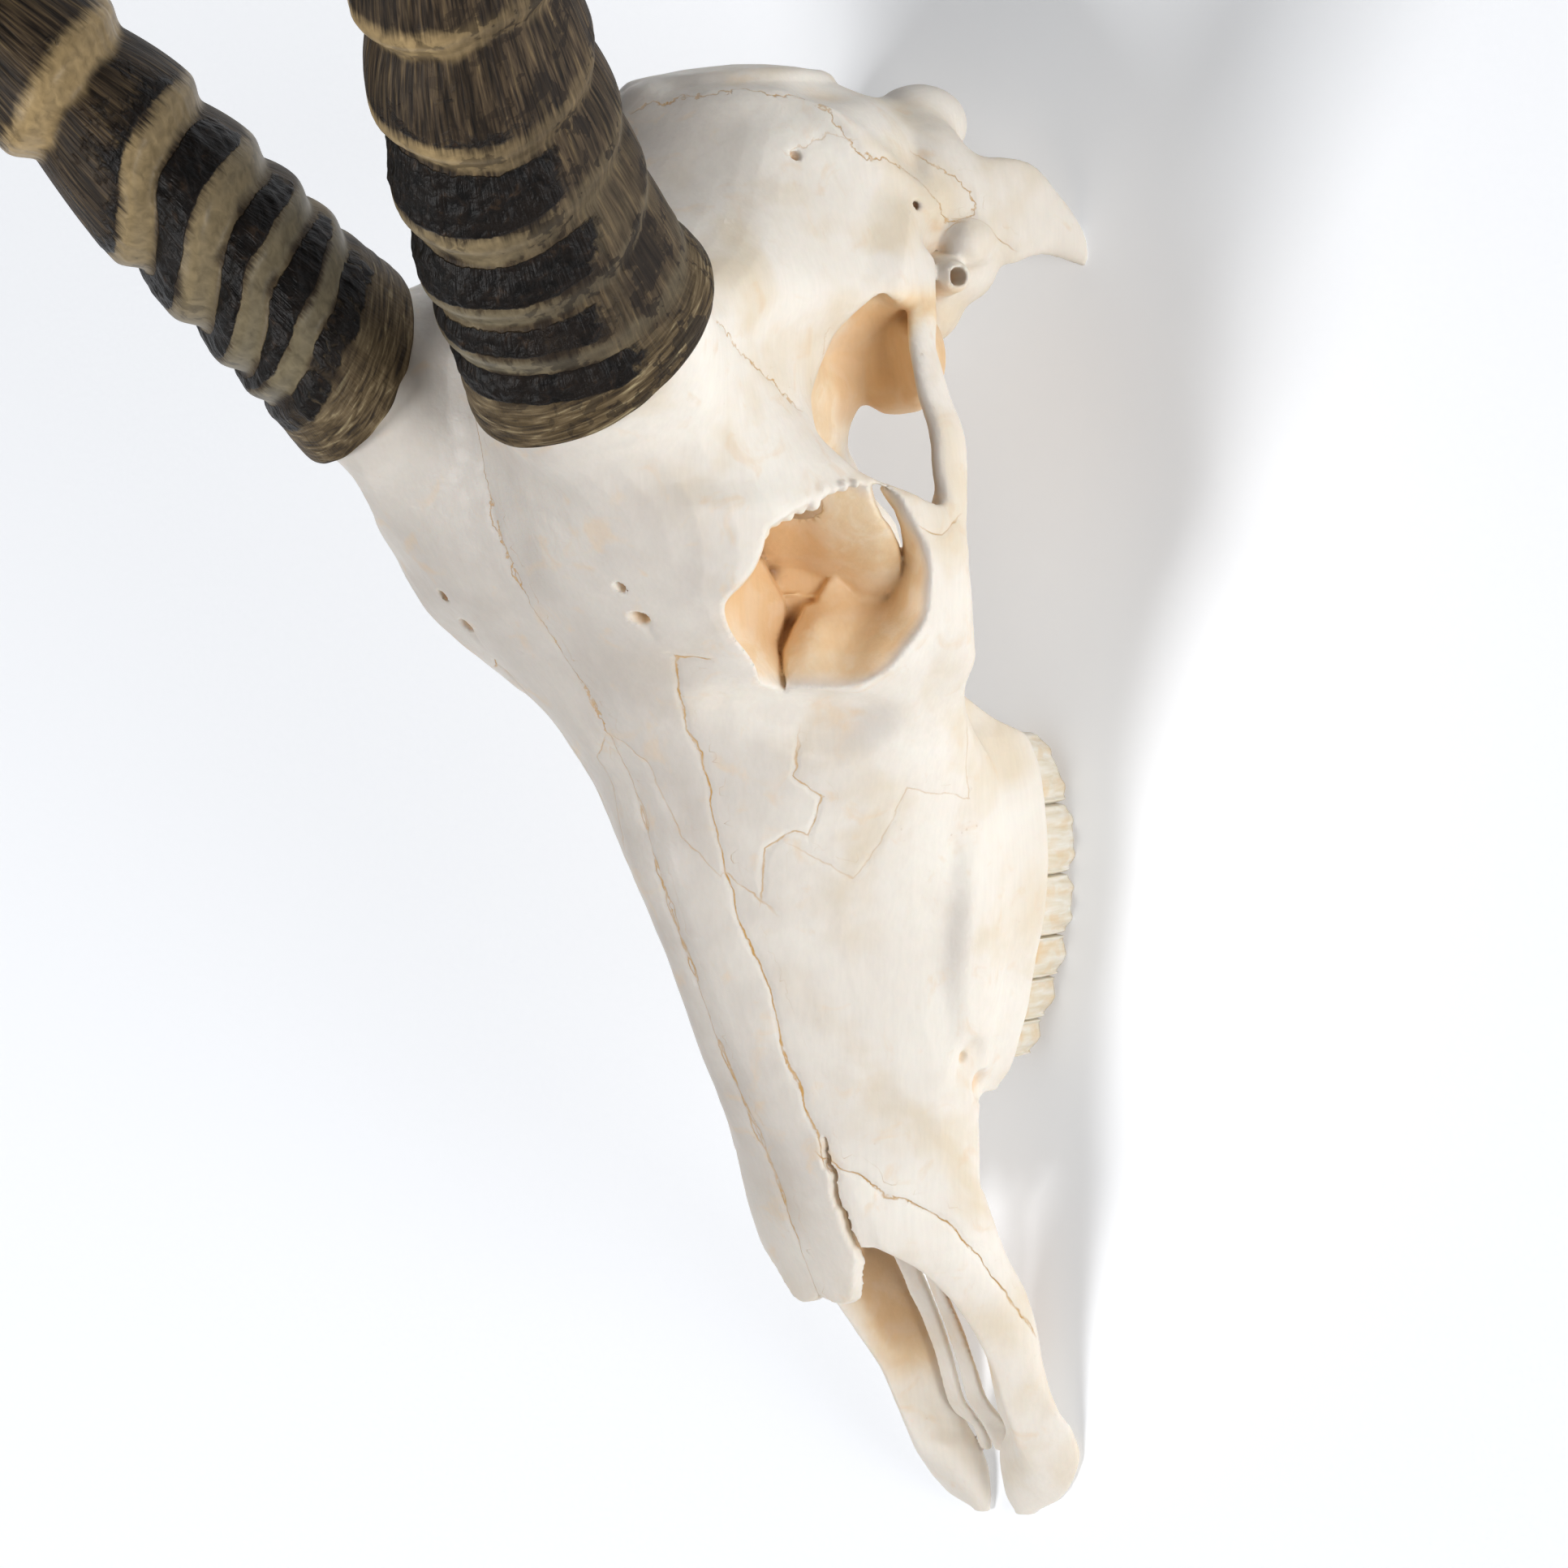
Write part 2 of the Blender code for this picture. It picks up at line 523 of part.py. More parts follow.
def pedicle_rings():
    """The bony stub under the sheath: as wide as the sheath less its overhang, and narrower inside the brow."""
    middle = base_plane()[0]
    turn = np.linspace(0, 2 * math.pi, 28, endpoint=False)
    ring = horn_oval(np.array([HORN_BASE_S]), turn, np.full((1, 28), -PEDICLE_INSET))[0]
    flatten_base(ring, 0.0)
    forward = horn_frames(np.array([HORN_BASE_S]))[1][0]
    return [middle + (ring - middle) * scale + forward * depth for depth, scale in PEDICLE_RINGS]


def seat_rings():
    """A slab above the pedicle's seat, which trims it flat."""
    middle, normal = base_plane()
    turn = np.linspace(0, 2 * math.pi, 24, endpoint=False)
    along = np.cross(normal, [1.0, 0.0, 0.0])
    along /= np.linalg.norm(along)
    across = np.cross(normal, along)
    disc = (np.outer(np.cos(turn), along) + np.outer(np.sin(turn), across)) * SEAT_TRIM_RADIUS
    return [middle + disc, middle + disc + normal * SEAT_TRIM_HEIGHT]


def orbit_rings():
    rim = np.array(ORBIT_RIM, float)
    middle = rim.mean(axis=0)
    outward = np.array(ORBIT_OUTWARD, float)
    outward /= np.linalg.norm(outward)
    rings = []
    for depth, scale in ORBIT_RINGS:
        ring = middle + (rim - middle) * scale + outward * depth
        if depth < ORBIT_FLAT_DEPTH:
            off = (ring - middle) @ outward - depth
            ring = ring - np.outer(off, outward)
        rings.append(round_outline(ring, 2))
    return rings


def table_rings(table, per_span=2, whole=False):
    ys, rows = smooth_table(table, 5.0)
    rings = []
    for y, row in zip(ys, rows):
        outline = row.reshape(-1, 2)
        if whole:
            outline = whole_outline(outline)
        rings.append(at_y(round_outline(outline, per_span), y))
    return rings


def new_object(name, form, material=None):
    mesh = bpy.data.meshes.new(name)
    form.to_mesh(mesh)
    form.free()
    if material is not None:
        mesh.materials.append(material)
    obj = bpy.data.objects.new(name, mesh)
    bpy.context.scene.collection.objects.link(obj)
    return obj


def hide_cutter(obj):
    obj.hide_render = True
    obj.display_type = "WIRE"


def cut(obj, cutter):
    modifier = obj.modifiers.new("cut_" + cutter.name, "BOOLEAN")
    modifier.operation = "DIFFERENCE"
    modifier.solver = "EXACT"
    modifier.object = cutter
    return modifier


def build_cranium(material):
    form = bmesh.new()
    add_loft(form, body_rings())
    add_loft(form, nasal_rings())
    add_pair(form, plate_rings(PREMAXILLA_SECTIONS))
    add_pair(form, plate_rings(PALATINE_SECTIONS))
    add_pair(form, plate_rings(PTERYGOID_SECTIONS))
    add_pair(form, alveolar_rings())
    add_pair(form, tube_rings(ARCH_PATH))
    add_pair(form, tube_rings(PAROCCIPITAL_PATH, upright=(0, 1, 0)))
    add_pair(form, tube_rings(MEATUS_PATH))
    add_pair(form, pedicle_rings())
    for lump in (CONDYLE, BULLA, EAR_SWELLING, GLENOID):
        add_pair(form, ellipsoid_rings(*lump))
    cranium = new_object("cranium", form, material)

    fuse = cranium.modifiers.new("fuse_forms", "REMESH")
    fuse.mode = "VOXEL"
    fuse.voxel_size = FORM_VOXEL * MM
    soften = cranium.modifiers.new("soften_joins", "SMOOTH")
    soften.factor = 0.5
    soften.iterations = 4

    hollows = []
    for name, rings, pair in (
        ("orbit_hollow", orbit_rings(), True),
        ("temporal_hollow", table_rings(TEMPORAL_SECTIONS), True),
        ("nasal_hollow", table_rings(NASAL_CAVITY_SECTIONS, whole=True), False),
        ("foramen_magnum", ellipsoid_rings(*FORAMEN_MAGNUM), False),
    ):
        form = bmesh.new()
        if pair:
            add_pair(form, rings)
        else:
            add_loft(form, rings)
        hollows.append(new_object(name, form))
    for hollow in hollows:
        hide_cutter(hollow)
        cut(cranium, hollow)

    even = cranium.modifiers.new("even_faces", "REMESH")
    even.mode = "VOXEL"
    even.voxel_size = FINE_VOXEL * MM
    thin = cranium.modifiers.new("fewer_faces", "DECIMATE")
    thin.ratio = CRANIUM_SHARE

    form = bmesh.new()
    add_pair(form, seat_rings())
    seat = new_object("horn_seat_trim", form)
    hide_cutter(seat)
    cut(cranium, seat)
    cut(cranium, build_socket_cutter())

    form = bmesh.new()
    bmesh.ops.create_cube(form, size=1.0)
    bmesh.ops.scale(form, vec=GROUND_TRIM, verts=form.verts)
    bmesh.ops.translate(form, vec=(0, 0, -GROUND_TRIM[2] / 2), verts=form.verts)
    ground = new_object("ground_trim", form)
    hide_cutter(ground)
    cut(cranium, ground)
    return cranium


def build_horn(side, sign, material):
    form = bmesh.new()
    rings = horn_rings()
    if sign < 0:
        rings = mirrored(rings)
    add_loft(form, rings)
    obj = new_object("horn_" + side, form, material)
    obj.data.shade_smooth()
    return obj


def tooth_outline(front, back, x_front, x_back, width, columns):
    """Outline seen from below: a straight inner side and a cheek side with a rib at each end and between columns."""
    along = np.linspace(0, 1, 4 * columns + 1)
    y = front + (back - front) * along
    outer = x_front + (x_back - x_front) * along
    ribs = outer - TOOTH_RIB * (1 - np.abs(np.cos(math.pi * along * columns)) ** 3)
    cheek = np.column_stack([ribs, y])
    inner_along = np.array([0.94, 0.72, 0.5, 0.28, 0.06])
    inner_y = front + (back - front) * inner_along
    inset = np.array([2.6, 0.3, 0.9 if columns > 1 else 0.0, 0.3, 2.6])
    inner_x = x_front + (x_back - x_front) * inner_along - width + inset
    return np.concatenate([cheek, np.column_stack([inner_x, inner_y])])


def tooth_rings(spec):
    """Three outlines up the tooth, from its bite to its root."""
    _, front, back, x_front, x_back, width, columns, bite_front, bite_back = spec
    outline = tooth_outline(front, back, x_front, x_back, width, columns)
    middle = outline.mean(axis=0)
    bite = bite_front + (bite_back - bite_front) * (outline[:, 1] - front) / (back - front)
    rings = []
    for share, lean, scale in TOOTH_LEVELS:
        spread = middle + (outline - middle) * scale
        rings.append(np.column_stack([spread[:, 0] + lean, spread[:, 1], bite + (TOOTH_TOP_Z - bite) * share]))
    return rings


def build_tooth(spec, side, sign, material):
    form = bmesh.new()
    rings = tooth_rings(spec)
    if sign < 0:
        rings = mirrored(rings)
    add_loft(form, rings)
    return new_object(spec[0] + "_" + side, form, material)


def socket_rings():
    """One groove for the whole row of roots, a little wider than the teeth and open below."""
    ends = [(TEETH[0], 0, -SOCKET_CLEARANCE)] + [(spec, 0, 0.0) for spec in TEETH[1:]]
    ends.append((TEETH[-1], 1, SOCKET_CLEARANCE))
    rings = []
    for spec, end, push in ends:
        y = spec[1 + end] + push
        outer = spec[3 + end] + SOCKET_CLEARANCE
        inner = spec[3 + end] - spec[5] - SOCKET_INNER_ROOM
        top = TOOTH_TOP_Z + SOCKET_CLEARANCE
        corners = [(inner, SOCKET_BOTTOM_Z), (outer, SOCKET_BOTTOM_Z), (outer, top), (inner, top)]
        rings.append(at_y(np.array(corners), y))
    return rings


def build_socket_cutter():
    form = bmesh.new()
    add_pair(form, socket_rings())
    cutter = new_object("tooth_sockets", form)
    hide_cutter(cutter)
    return cutter


def main():
    clear_scene()
    bone = make_material(BONE)
    keratin = make_material(KERATIN)
    enamel = make_material(ENAMEL)
    build_cranium(bone)
    for side, sign in (("left", 1), ("right", -1)):
        build_horn(side, sign, keratin)
        for spec in TEETH:
            build_tooth(spec, side, sign, enamel)


main()
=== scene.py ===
"""Blesbok skull with ringed horns, dressed over its CAD frame.

The bone is a solid worked out as signed distances on a numpy grid and skinned where the distance is nought. Horns
and teeth are grids of two parameters. Tables are in millimetres with Y measured backwards from the tip of the nose,
X towards the animal's left and Z up from the ground; to_metres turns them into the frame's own metres.
"""

import math

import bpy
import numpy as np
from bpy.props import FloatProperty, FloatVectorProperty, IntProperty, PointerProperty
from mathutils import Matrix, Vector


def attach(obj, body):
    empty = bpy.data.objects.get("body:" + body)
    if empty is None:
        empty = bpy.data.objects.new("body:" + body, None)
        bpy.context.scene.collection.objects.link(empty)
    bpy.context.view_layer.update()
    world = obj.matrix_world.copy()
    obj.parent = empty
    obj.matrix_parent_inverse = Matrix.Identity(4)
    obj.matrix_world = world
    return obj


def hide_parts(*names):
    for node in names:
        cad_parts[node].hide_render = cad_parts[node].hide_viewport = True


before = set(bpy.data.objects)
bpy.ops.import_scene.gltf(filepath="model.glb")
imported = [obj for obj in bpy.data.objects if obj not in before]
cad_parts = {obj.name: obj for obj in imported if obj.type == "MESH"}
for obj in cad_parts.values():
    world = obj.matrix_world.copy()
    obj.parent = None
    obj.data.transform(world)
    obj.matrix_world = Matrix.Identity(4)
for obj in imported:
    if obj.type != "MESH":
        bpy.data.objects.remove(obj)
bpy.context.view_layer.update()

bl_info = {
    "name": "Blesbok Skull",
    "version": (1, 0, 0),
    "blender": (4, 5, 0),
    "location": "3D Viewport > Sidebar > Skull",
    "description": "Builds a bleached antelope skull with ringed horns and cheek teeth over its CAD frame",
    "category": "Object",
}

MM = 0.001
ORIGIN_Y = 247.5

# Half outlines of the brain case and face: (x, z) from the midline of the roof, round the side, to the midline of
# the underside, keyed by y.
BODY = {
    50: [(0, 52.6), (7, 52.2), (12.5, 50.5), (16.5, 45), (19.5, 37), (21.5, 30), (20, 24), (12, 22), (0, 21.5)],
    58: [
        (0, 55.8), (8, 55.4), (14, 53), (17.8, 47), (20.6, 38.5),
        (22.8, 31), (21.8, 25), (12.5, 23), (0, 22.5),
    ],
    66: [(0, 59), (8, 58.6), (15, 56), (18.5, 49), (21.5, 40), (23.5, 32.5), (23, 26.5), (13, 24), (0, 23.5)],
    72: [(0, 61.5), (8.5, 61), (15.5, 58), (19, 50.5), (22, 41), (24, 32.5), (23.5, 26.5), (13, 24), (0, 23.5)],
    84: [(0, 66), (8, 65.6), (14.5, 62.3), (18.5, 55), (22.5, 45), (25, 35), (24, 26.5), (13, 24.5), (0, 24)],
    98: [(0, 73), (7, 72.5), (13, 67.6), (18, 60), (23.5, 48), (26.5, 37), (26, 27), (14, 25), (0, 25.5)],
    112: [(0, 79.6), (7, 79), (13, 73), (18, 65), (24, 52.5), (28.5, 40), (29, 27), (15, 26), (0, 27)],
    130: [
        (0, 86.6), (7, 85.9), (13, 80), (18.5, 71.5), (25.5, 57.5),
        (31, 42), (32.5, 27), (16, 27), (0, 28.5),
    ],
    150: [(0, 94.3), (8, 93.5), (15, 88), (22.5, 79.3), (30.5, 64.5), (35.5, 46), (35, 28), (18, 29), (0, 30)],
    168: [(0, 99.6), (9, 99), (18, 94), (30, 81.5), (38.5, 67), (41.5, 50), (36, 30), (20, 31), (0, 31)],
    178: [(0, 104.8), (10, 104.3), (21, 98.3), (33, 86.5), (43, 70), (46, 54), (40, 38), (22, 33), (0, 32)],
    186: [(0, 109.5), (12, 109.2), (24, 103.2), (36, 92), (47, 77), (50.5, 60), (48, 47), (24, 38), (0, 38)],
    193: [(0, 114), (14, 113.8), (28, 108), (41, 97.5), (53, 80), (54.5, 63), (53.5, 49), (26, 43), (0, 43)],
    201: [
        (0, 119.8), (15, 119.8), (30, 115.5), (44.5, 106.5), (55.5, 84),
        (57.5, 66), (54.5, 50), (26, 46), (0, 46),
    ],
    210: [
        (0, 126.8), (17, 127.2), (33, 122.8), (48, 113.5), (57.8, 87),
        (58.8, 67), (55.5, 51), (25, 47), (0, 47),
    ],
    219: [
        (0, 132), (18, 132.8), (36, 128.3), (51.5, 114.5), (58.5, 87),
        (58.5, 68), (55.5, 55), (24, 47), (0, 47),
    ],
    226: [
        (0, 134.5), (19, 135.7), (38, 132.5), (52, 116.5), (57, 90),
        (57.5, 74), (53.5, 59), (24, 47), (0, 46),
    ],
    233: [(0, 135.9), (19, 138.5), (36, 138.3), (49.5, 118), (54, 95), (51.5, 77), (41, 61), (18, 48), (0, 46)],
    241: [(0, 137), (18, 143), (31, 145.5), (49, 122), (50, 97), (43, 77), (31, 60), (15, 46), (0, 42)],
    250: [(0, 138), (18, 147), (35, 149), (51, 126), (46.5, 98), (39, 77), (31, 57), (16, 40), (0, 32.5)],
    260: [(0, 138), (17, 147), (37, 147), (51.5, 124), (44.5, 97), (40.5, 76), (35, 56), (20, 34), (0, 23)],
    270: [(0, 133), (16, 139), (35, 137), (48, 117), (46, 91), (45.6, 70), (45.6, 53), (22, 30), (0, 17)],
    282: [(0, 121), (17, 121), (32, 114), (40.5, 97), (42.5, 79), (43.2, 62), (43, 47.5), (18, 22), (0, 14)],
    294: [(0, 104.7), (16, 104), (26.5, 97), (34, 86), (38, 71), (39.5, 57), (35, 39), (16, 20), (0, 13)],
    304: [(0, 94.2), (13.5, 93.7), (22.5, 88.8), (31, 79), (35.5, 65), (36.5, 51), (31, 36), (15, 20), (0, 14)],
    311: [(0, 88), (12, 87.5), (21.5, 82), (28, 71), (31, 59), (30, 48), (24, 36), (13, 26), (0, 22)],
    316: [(0, 81), (9, 80.5), (16, 75), (20, 66), (21, 57), (19, 49), (14, 42), (8, 38), (0, 37)],
}
# Front edge of the two nasal bones: (x, y) from the midline outwards, and the slope of the roof behind it.
NASAL_EDGE = [
    (0, 55.2),
    (1.2, 54.4),
    (3.5, 53.6),
    (6.5, 53.2),
    (8.8, 54.2),
    (10.4, 57),
    (11.8, 60.5),
    (13.2, 63.2),
    (14.4, 64.6),
    (15.4, 66),
    (17, 66),
]
NOSE_SIDE_Y = 66
ROOF_UNDERSIDE = (50, 46, 0.42)
# Hollow between brain case and cheekbone arch: closed outlines of (x, z).
TEMPLE = {
    213: [
        (34, 56), (40, 56), (44, 54.5), (46, 52.5), (46.5, 50),
        (46, 47), (44, 42), (32, 41), (29, 48), (31, 54),
    ],
    221: [
        (35, 74), (43, 73), (48, 67), (50.5, 63.5), (51, 60),
        (50.5, 56), (45, 39), (24, 36), (23.5, 51), (29, 66),
    ],
    228: [
        (34, 92), (43, 90), (49, 75), (57.5, 66), (60, 61.5),
        (51, 58), (46, 37), (20, 34), (20.5, 50), (27, 74),
    ],
    235: [
        (35, 88), (42, 87), (48, 82), (62, 77), (62, 63),
        (51.5, 60), (50, 38), (20, 34), (20.5, 49), (29, 70),
    ],
    241: [(36, 84), (42, 84), (48, 83), (59, 81), (58, 63), (50, 60), (49, 44), (27, 40), (24, 50), (29, 64)],
    247: [(34, 77), (41, 79), (46, 78), (54, 76), (54, 63), (48.4, 60), (46, 54), (38, 50), (29, 55), (29, 67)],
    256: [
        (35, 72), (41, 74), (46, 73), (50, 68), (48.5, 62),
        (46.4, 58.5), (43, 53), (36, 51.5), (30.5, 57), (31, 65),
    ],
    264: [
        (36.5, 68), (41, 69.5), (45, 68), (47.5, 64), (46.5, 59.5),
        (44.6, 57), (41, 54), (36.5, 54), (33, 58), (34, 64),
    ],
    270: [
        (39, 64), (41.5, 65), (44, 64), (45, 62), (44.4, 60),
        (43.4, 58.6), (41, 57.4), (38.4, 57.6), (36.6, 59.4), (37.2, 62),
    ],
}
# Hollow of the nose: half outlines of (x, z).
NOSE = {
    42: [(0, 46), (7, 45.4), (12, 43.5), (15, 38), (17, 33), (17, 30), (8, 29), (0, 29)],
    52: [(0, 49.6), (7, 49), (12, 47), (15, 40), (17.5, 34), (17, 30), (8, 29), (0, 29)],
    58: [(0, 52.4), (7.5, 51.9), (12.8, 49.6), (15.8, 43), (18.4, 36), (18, 30), (8, 29), (0, 29)],
    66: [(0, 55.8), (8, 55.2), (13, 52.8), (16, 46), (18.9, 38), (19, 31), (8, 29), (0, 29)],
    90: [(0, 65.3), (6.5, 64.5), (11, 60.5), (15.2, 52), (19.2, 42), (20.5, 32), (9, 30), (0, 30)],
    120: [(0, 76), (6, 75), (10.5, 70), (15, 62), (20.5, 50), (23.5, 42), (9, 34), (0, 33)],
    150: [(0, 84), (5, 83), (9, 78), (14, 70), (18, 58), (18, 46), (8, 40), (0, 39)],
}
# Bone of the muzzle's tip, one side: closed outlines of (x, z) from its lower outer edge over the top and back.
PREMAXILLA = {
    0.6: [(9, 0.3), (9.5, 1), (8.5, 2), (7.5, 2.6), (6, 2.9), (4.5, 2.5), (4, 1.6), (4.6, 0.6), (6.5, 0.1)],
    4: [(16.5, 0.2), (17, 1.4), (14, 3.4), (11, 4.4), (7.5, 5), (4.6, 4.6), (3.7, 3.2), (3.9, 0.8), (9, 0)],
    9: [
        (20.8, 0.1), (21.5, 1.8), (18.5, 5.2), (15, 7.2), (9.5, 7.4),
        (5.5, 6.4), (3.6, 4.2), (3.9, 1), (11, 0),
    ],
    14.5: [
        (23, 0.2), (23.8, 2.8), (20.5, 7.5), (16.7, 10.5), (12.5, 9.8),
        (7, 7.8), (4.6, 5.6), (5, 2), (13, 0.2),
    ],
    20: [
        (22.8, 2), (23.8, 4.8), (20.6, 10), (16.8, 13.3), (14.5, 12),
        (11, 9), (7.6, 7), (7.2, 3.6), (15, 1.5),
    ],
    24.5: [
        (22.2, 5), (23.4, 7.5), (20.3, 12.3), (16.9, 15.5), (14.5, 13.6),
        (11.2, 11), (8, 9.4), (7.8, 5.6), (16, 3.6),
    ],
    34: [
        (22, 8.2), (23, 12), (21, 16.5), (17.6, 19.6), (15, 17.2),
        (11.6, 13.8), (8.4, 11.6), (8.2, 7.6), (16, 6.2),
    ],
    43: [
        (22, 9.8), (23.3, 15), (21.8, 21), (18.9, 25.5), (16, 22.2),
        (12.2, 18), (8.6, 14.4), (8.2, 9.6), (16, 8.2),
    ],
    52: [
        (22.4, 13.5), (23.6, 20), (22.3, 27), (19.3, 33), (16.4, 29.5),
        (12.6, 24), (9, 19.4), (8.8, 13.8), (16.5, 12),
    ],
    60: [
        (22.8, 18.6), (24, 26), (22.6, 35), (19.2, 42.5), (16.5, 39),
        (13.4, 32), (9.8, 24.5), (9.8, 18.8), (17, 17.5),
    ],
    66: [
        (23.2, 21.5), (23.9, 30), (21.8, 41), (17.6, 52), (15.2, 47),
        (14, 41), (13, 34), (13.4, 27), (17, 23),
    ],
    74: [
        (23, 24.5), (23.5, 31), (21.2, 42), (17, 54), (15, 51),
        (14.4, 45), (13.8, 38), (14, 31), (17.5, 25.5),
    ],
}
# Plates: y: one edge (x, z), the other edge (x, z), thickness.
PALATINE = {
    15.2: (0.7, 3.6, 4.2, 2.2, 2.0),
    19: (0.6, 5.8, 4.8, 2.4, 2.4),
    23: (0.6, 8.4, 6.5, 7.4, 2.2),
    27: (0.75, 11.2, 6.0, 10.6, 1.6),
    35: (0.8, 13.4, 5.4, 13.2, 1.4),
    44.6: (0.8, 16.6, 5.3, 17.2, 1.4),
    53: (0.8, 20.2, 5.3, 21.7, 1.5),
    64: (0.8, 24.5, 5.6, 26.8, 1.8),
    76: (0.6, 26, 6, 29, 3.0),
}
PTERYGOID = {
    180: (15, 30, 17, 46, 4.0),
    195: (12.5, 28, 16, 52, 3.2),
    212: (11.5, 27, 16, 54, 3.0),
    220: (11.5, 28.5, 16.5, 54, 3.0),
    228: (12.5, 37, 17, 54, 3.2),
    240: (14, 46.5, 17, 56, 3.6),
}
# Ridge of bone that holds the cheek teeth: y: inner x, outer x, bottom z, top z.
TOOTH_RIDGE = {
    97.5: (17, 23, 17, 30),
    101: (14, 25, 15, 33),
    106: (13, 26.8, 14.2, 35),
    115: (12.5, 30, 13, 36),
    125: (13.5, 33, 13, 38),
    137: (14.5, 35.6, 12, 38),
    150: (15.5, 36.6, 11.2, 38),
    163: (16.5, 36, 11.4, 38),
    173: (18, 34.6, 13.5, 38),
    178: (20, 32.5, 22, 40),
    187: (22, 31, 34, 44),
}
# Bars: (x, y, z), half width, half height.
CHEEK_ARCH = [
    (41, 276, 47, 3.0, 4.5),
    (45.4, 266, 50.8, 1.9, 3.8),
    (49.0, 257, 54.9, 1.8, 3.6),
    (52.4, 247, 55.6, 2.0, 4.6),
    (55.4, 237, 55.4, 2.4, 5.2),
    (55.4, 227, 56, 2.7, 5.0),
    (54.8, 216, 58.2, 3.6, 5.6),
]
NECK_PROCESS = [
    (35, 290, 38, 5.0, 9.0),
    (38.5, 287.4, 27, 4.0, 11.0),
    (41.5, 286.3, 17, 3.0, 11.4),
    (43.6, 283.4, 9, 2.4, 7.4),
    (45, 279, 3, 2.0, 4.2),
    (45.8, 275.5, -1.0, 1.5, 1.9),
]
EAR_TUBE = [(30, 273, 33, 5.5, 5.5), (38, 273, 36.4, 4.6, 4.6), (44.6, 272.6, 39.6, 3.6, 3.6)]
EAR_HOLE = [(38, 273, 36.6, 1.3, 1.3), (43, 272.8, 38.9, 1.8, 1.8), (50, 272.2, 42, 2.1, 2.1)]
NECK_CREST = [
    (0, 308.5, 89.5, 1.6, 2.2),
    (10.7, 310.8, 86, 1.6, 2.3),
    (20.3, 311.5, 79, 1.7, 2.6),
    (28.2, 310, 67.5, 1.7, 2.6),
    (34.9, 304, 61.5, 1.6, 2.4),
    (38.3, 296.5, 53, 1.6, 2.2),
    (39.4, 288, 41, 1.6, 2.0),
]
# Rounded lumps joined on: centre, half axes, softness of the join.
LUMPS = [
    ((20.5, 306.5, 22.8), (8.7, 8.9, 12.4), 5.0),
    ((28, 298.5, 30), (9, 9, 9.5), 5.0),
    ((33, 256, 46), (12.5, 12.5, 7), 4.0),
    ((26.5, 271, 30), (8.5, 12, 9.5), 3.0),
    ((33, 276, 25), (6.5, 8.5, 9), 3.0),
    ((38, 255, 50), (9, 8, 5), 3.0),
    ((0, 313, 84), (6, 4.5, 5), 5.0),
    ((0, 311.5, 60), (23, 9.5, 24), 6.0),
    ((41, 280, 30), (4, 5, 6), 2.5),
]
# Rounded hollows cut out, in the same form.
PITS = [
    ((0, 308, 31), (10.5, 30, 8.5), 2.0),
    ((30, 316, 57), (6, 4.5, 11), 4.0),
    ((29.5, 103, 32), (2.6, 5.5, 4.5), 3.0),
    ((25.8, 98.5, 27), (2.4, 3.2, 3.0), 1.5),
    ((27.3, 211.8, 125), (1.35, 1.3, 3.0), 0.3),
    ((26.6, 205.2, 119.6), (2.4, 1.7, 3.2), 0.4),
    ((39.4, 288, 46.2), (2.2, 1.3, 1.7), 0.3),
    ((34.2, 299.3, 74.7), (2.0, 1.0, 1.1), 0.3),
    ((38.6, 134.6, 32), (0.9, 0.8, 0.8), 0.2),
    ((27, 105.2, 33.2), (1.4, 1.4, 1.3), 0.4),
    ((33, 256, 62), (5, 6, 6), 3.0),
]
BROW_GROOVE = [(26.6, 205, 120.4, 1.3, 1.3), (26.9, 202.6, 118.6, 1.0, 1.0), (26.6, 199.6, 116.4, 0.7, 0.7)]
# Hollow of the face in front of the eye socket's rim, cut the same way as a bar.
FACE_HOLLOW = [
    (29, 180.8, 104.6, 7.4, 7.4),
    (32.6, 180, 101, 9, 9),
    (37.3, 179.4, 92.8, 9.2, 9.2),
    (40.4, 178.4, 86.2, 9.2, 9.2),
    (45.4, 177, 77.5, 9, 9),
    (52, 177, 70, 7.8, 7.8),
]

# Eye socket, in a frame that looks into it: EYE_ACROSS, EYE_ALONG and EYE_OUTWARD from EYE_MIDDLE. Rim: (u, v).
EYE_MIDDLE = (50.0, 208.5, 86.0)
EYE_ACROSS = (0.699, -0.061, -0.713)
EYE_ALONG = (0.014, 0.997, -0.072)
EYE_OUTWARD = (0.715, 0.040, 0.698)
EYE_RIM = [
    (-14.3, 11.4),
    (-12.2, 13.1),
    (-7.1, 16.5),
    (-2.9, 19),
    (3, 21.1),
    (6.8, 21.5),
    (9.1, 21.2),
    (12.3, 19.3),
    (14.7, 16.5),
    (16.6, 13.4),
    (18.5, 8.9),
    (19.4, 3.6),
    (19, -2.1),
    (17.7, -6.7),
    (15.2, -11.3),
    (12.7, -15.1),
    (8.9, -18.1),
    (4.7, -20.2),
    (0.5, -21),
    (-3.7, -21.2),
    (-8, -20.6),
    (-9.6, -20.2),
    (-14.5, -19.8),
    (-16.4, -15.5),
    (-20.6, -10.5),
    (-22.7, -6.3),
    (-22.7, -2.9),
    (-19.3, 0.5),
    (-16.8, 3.8),
    (-15.1, 8),
]
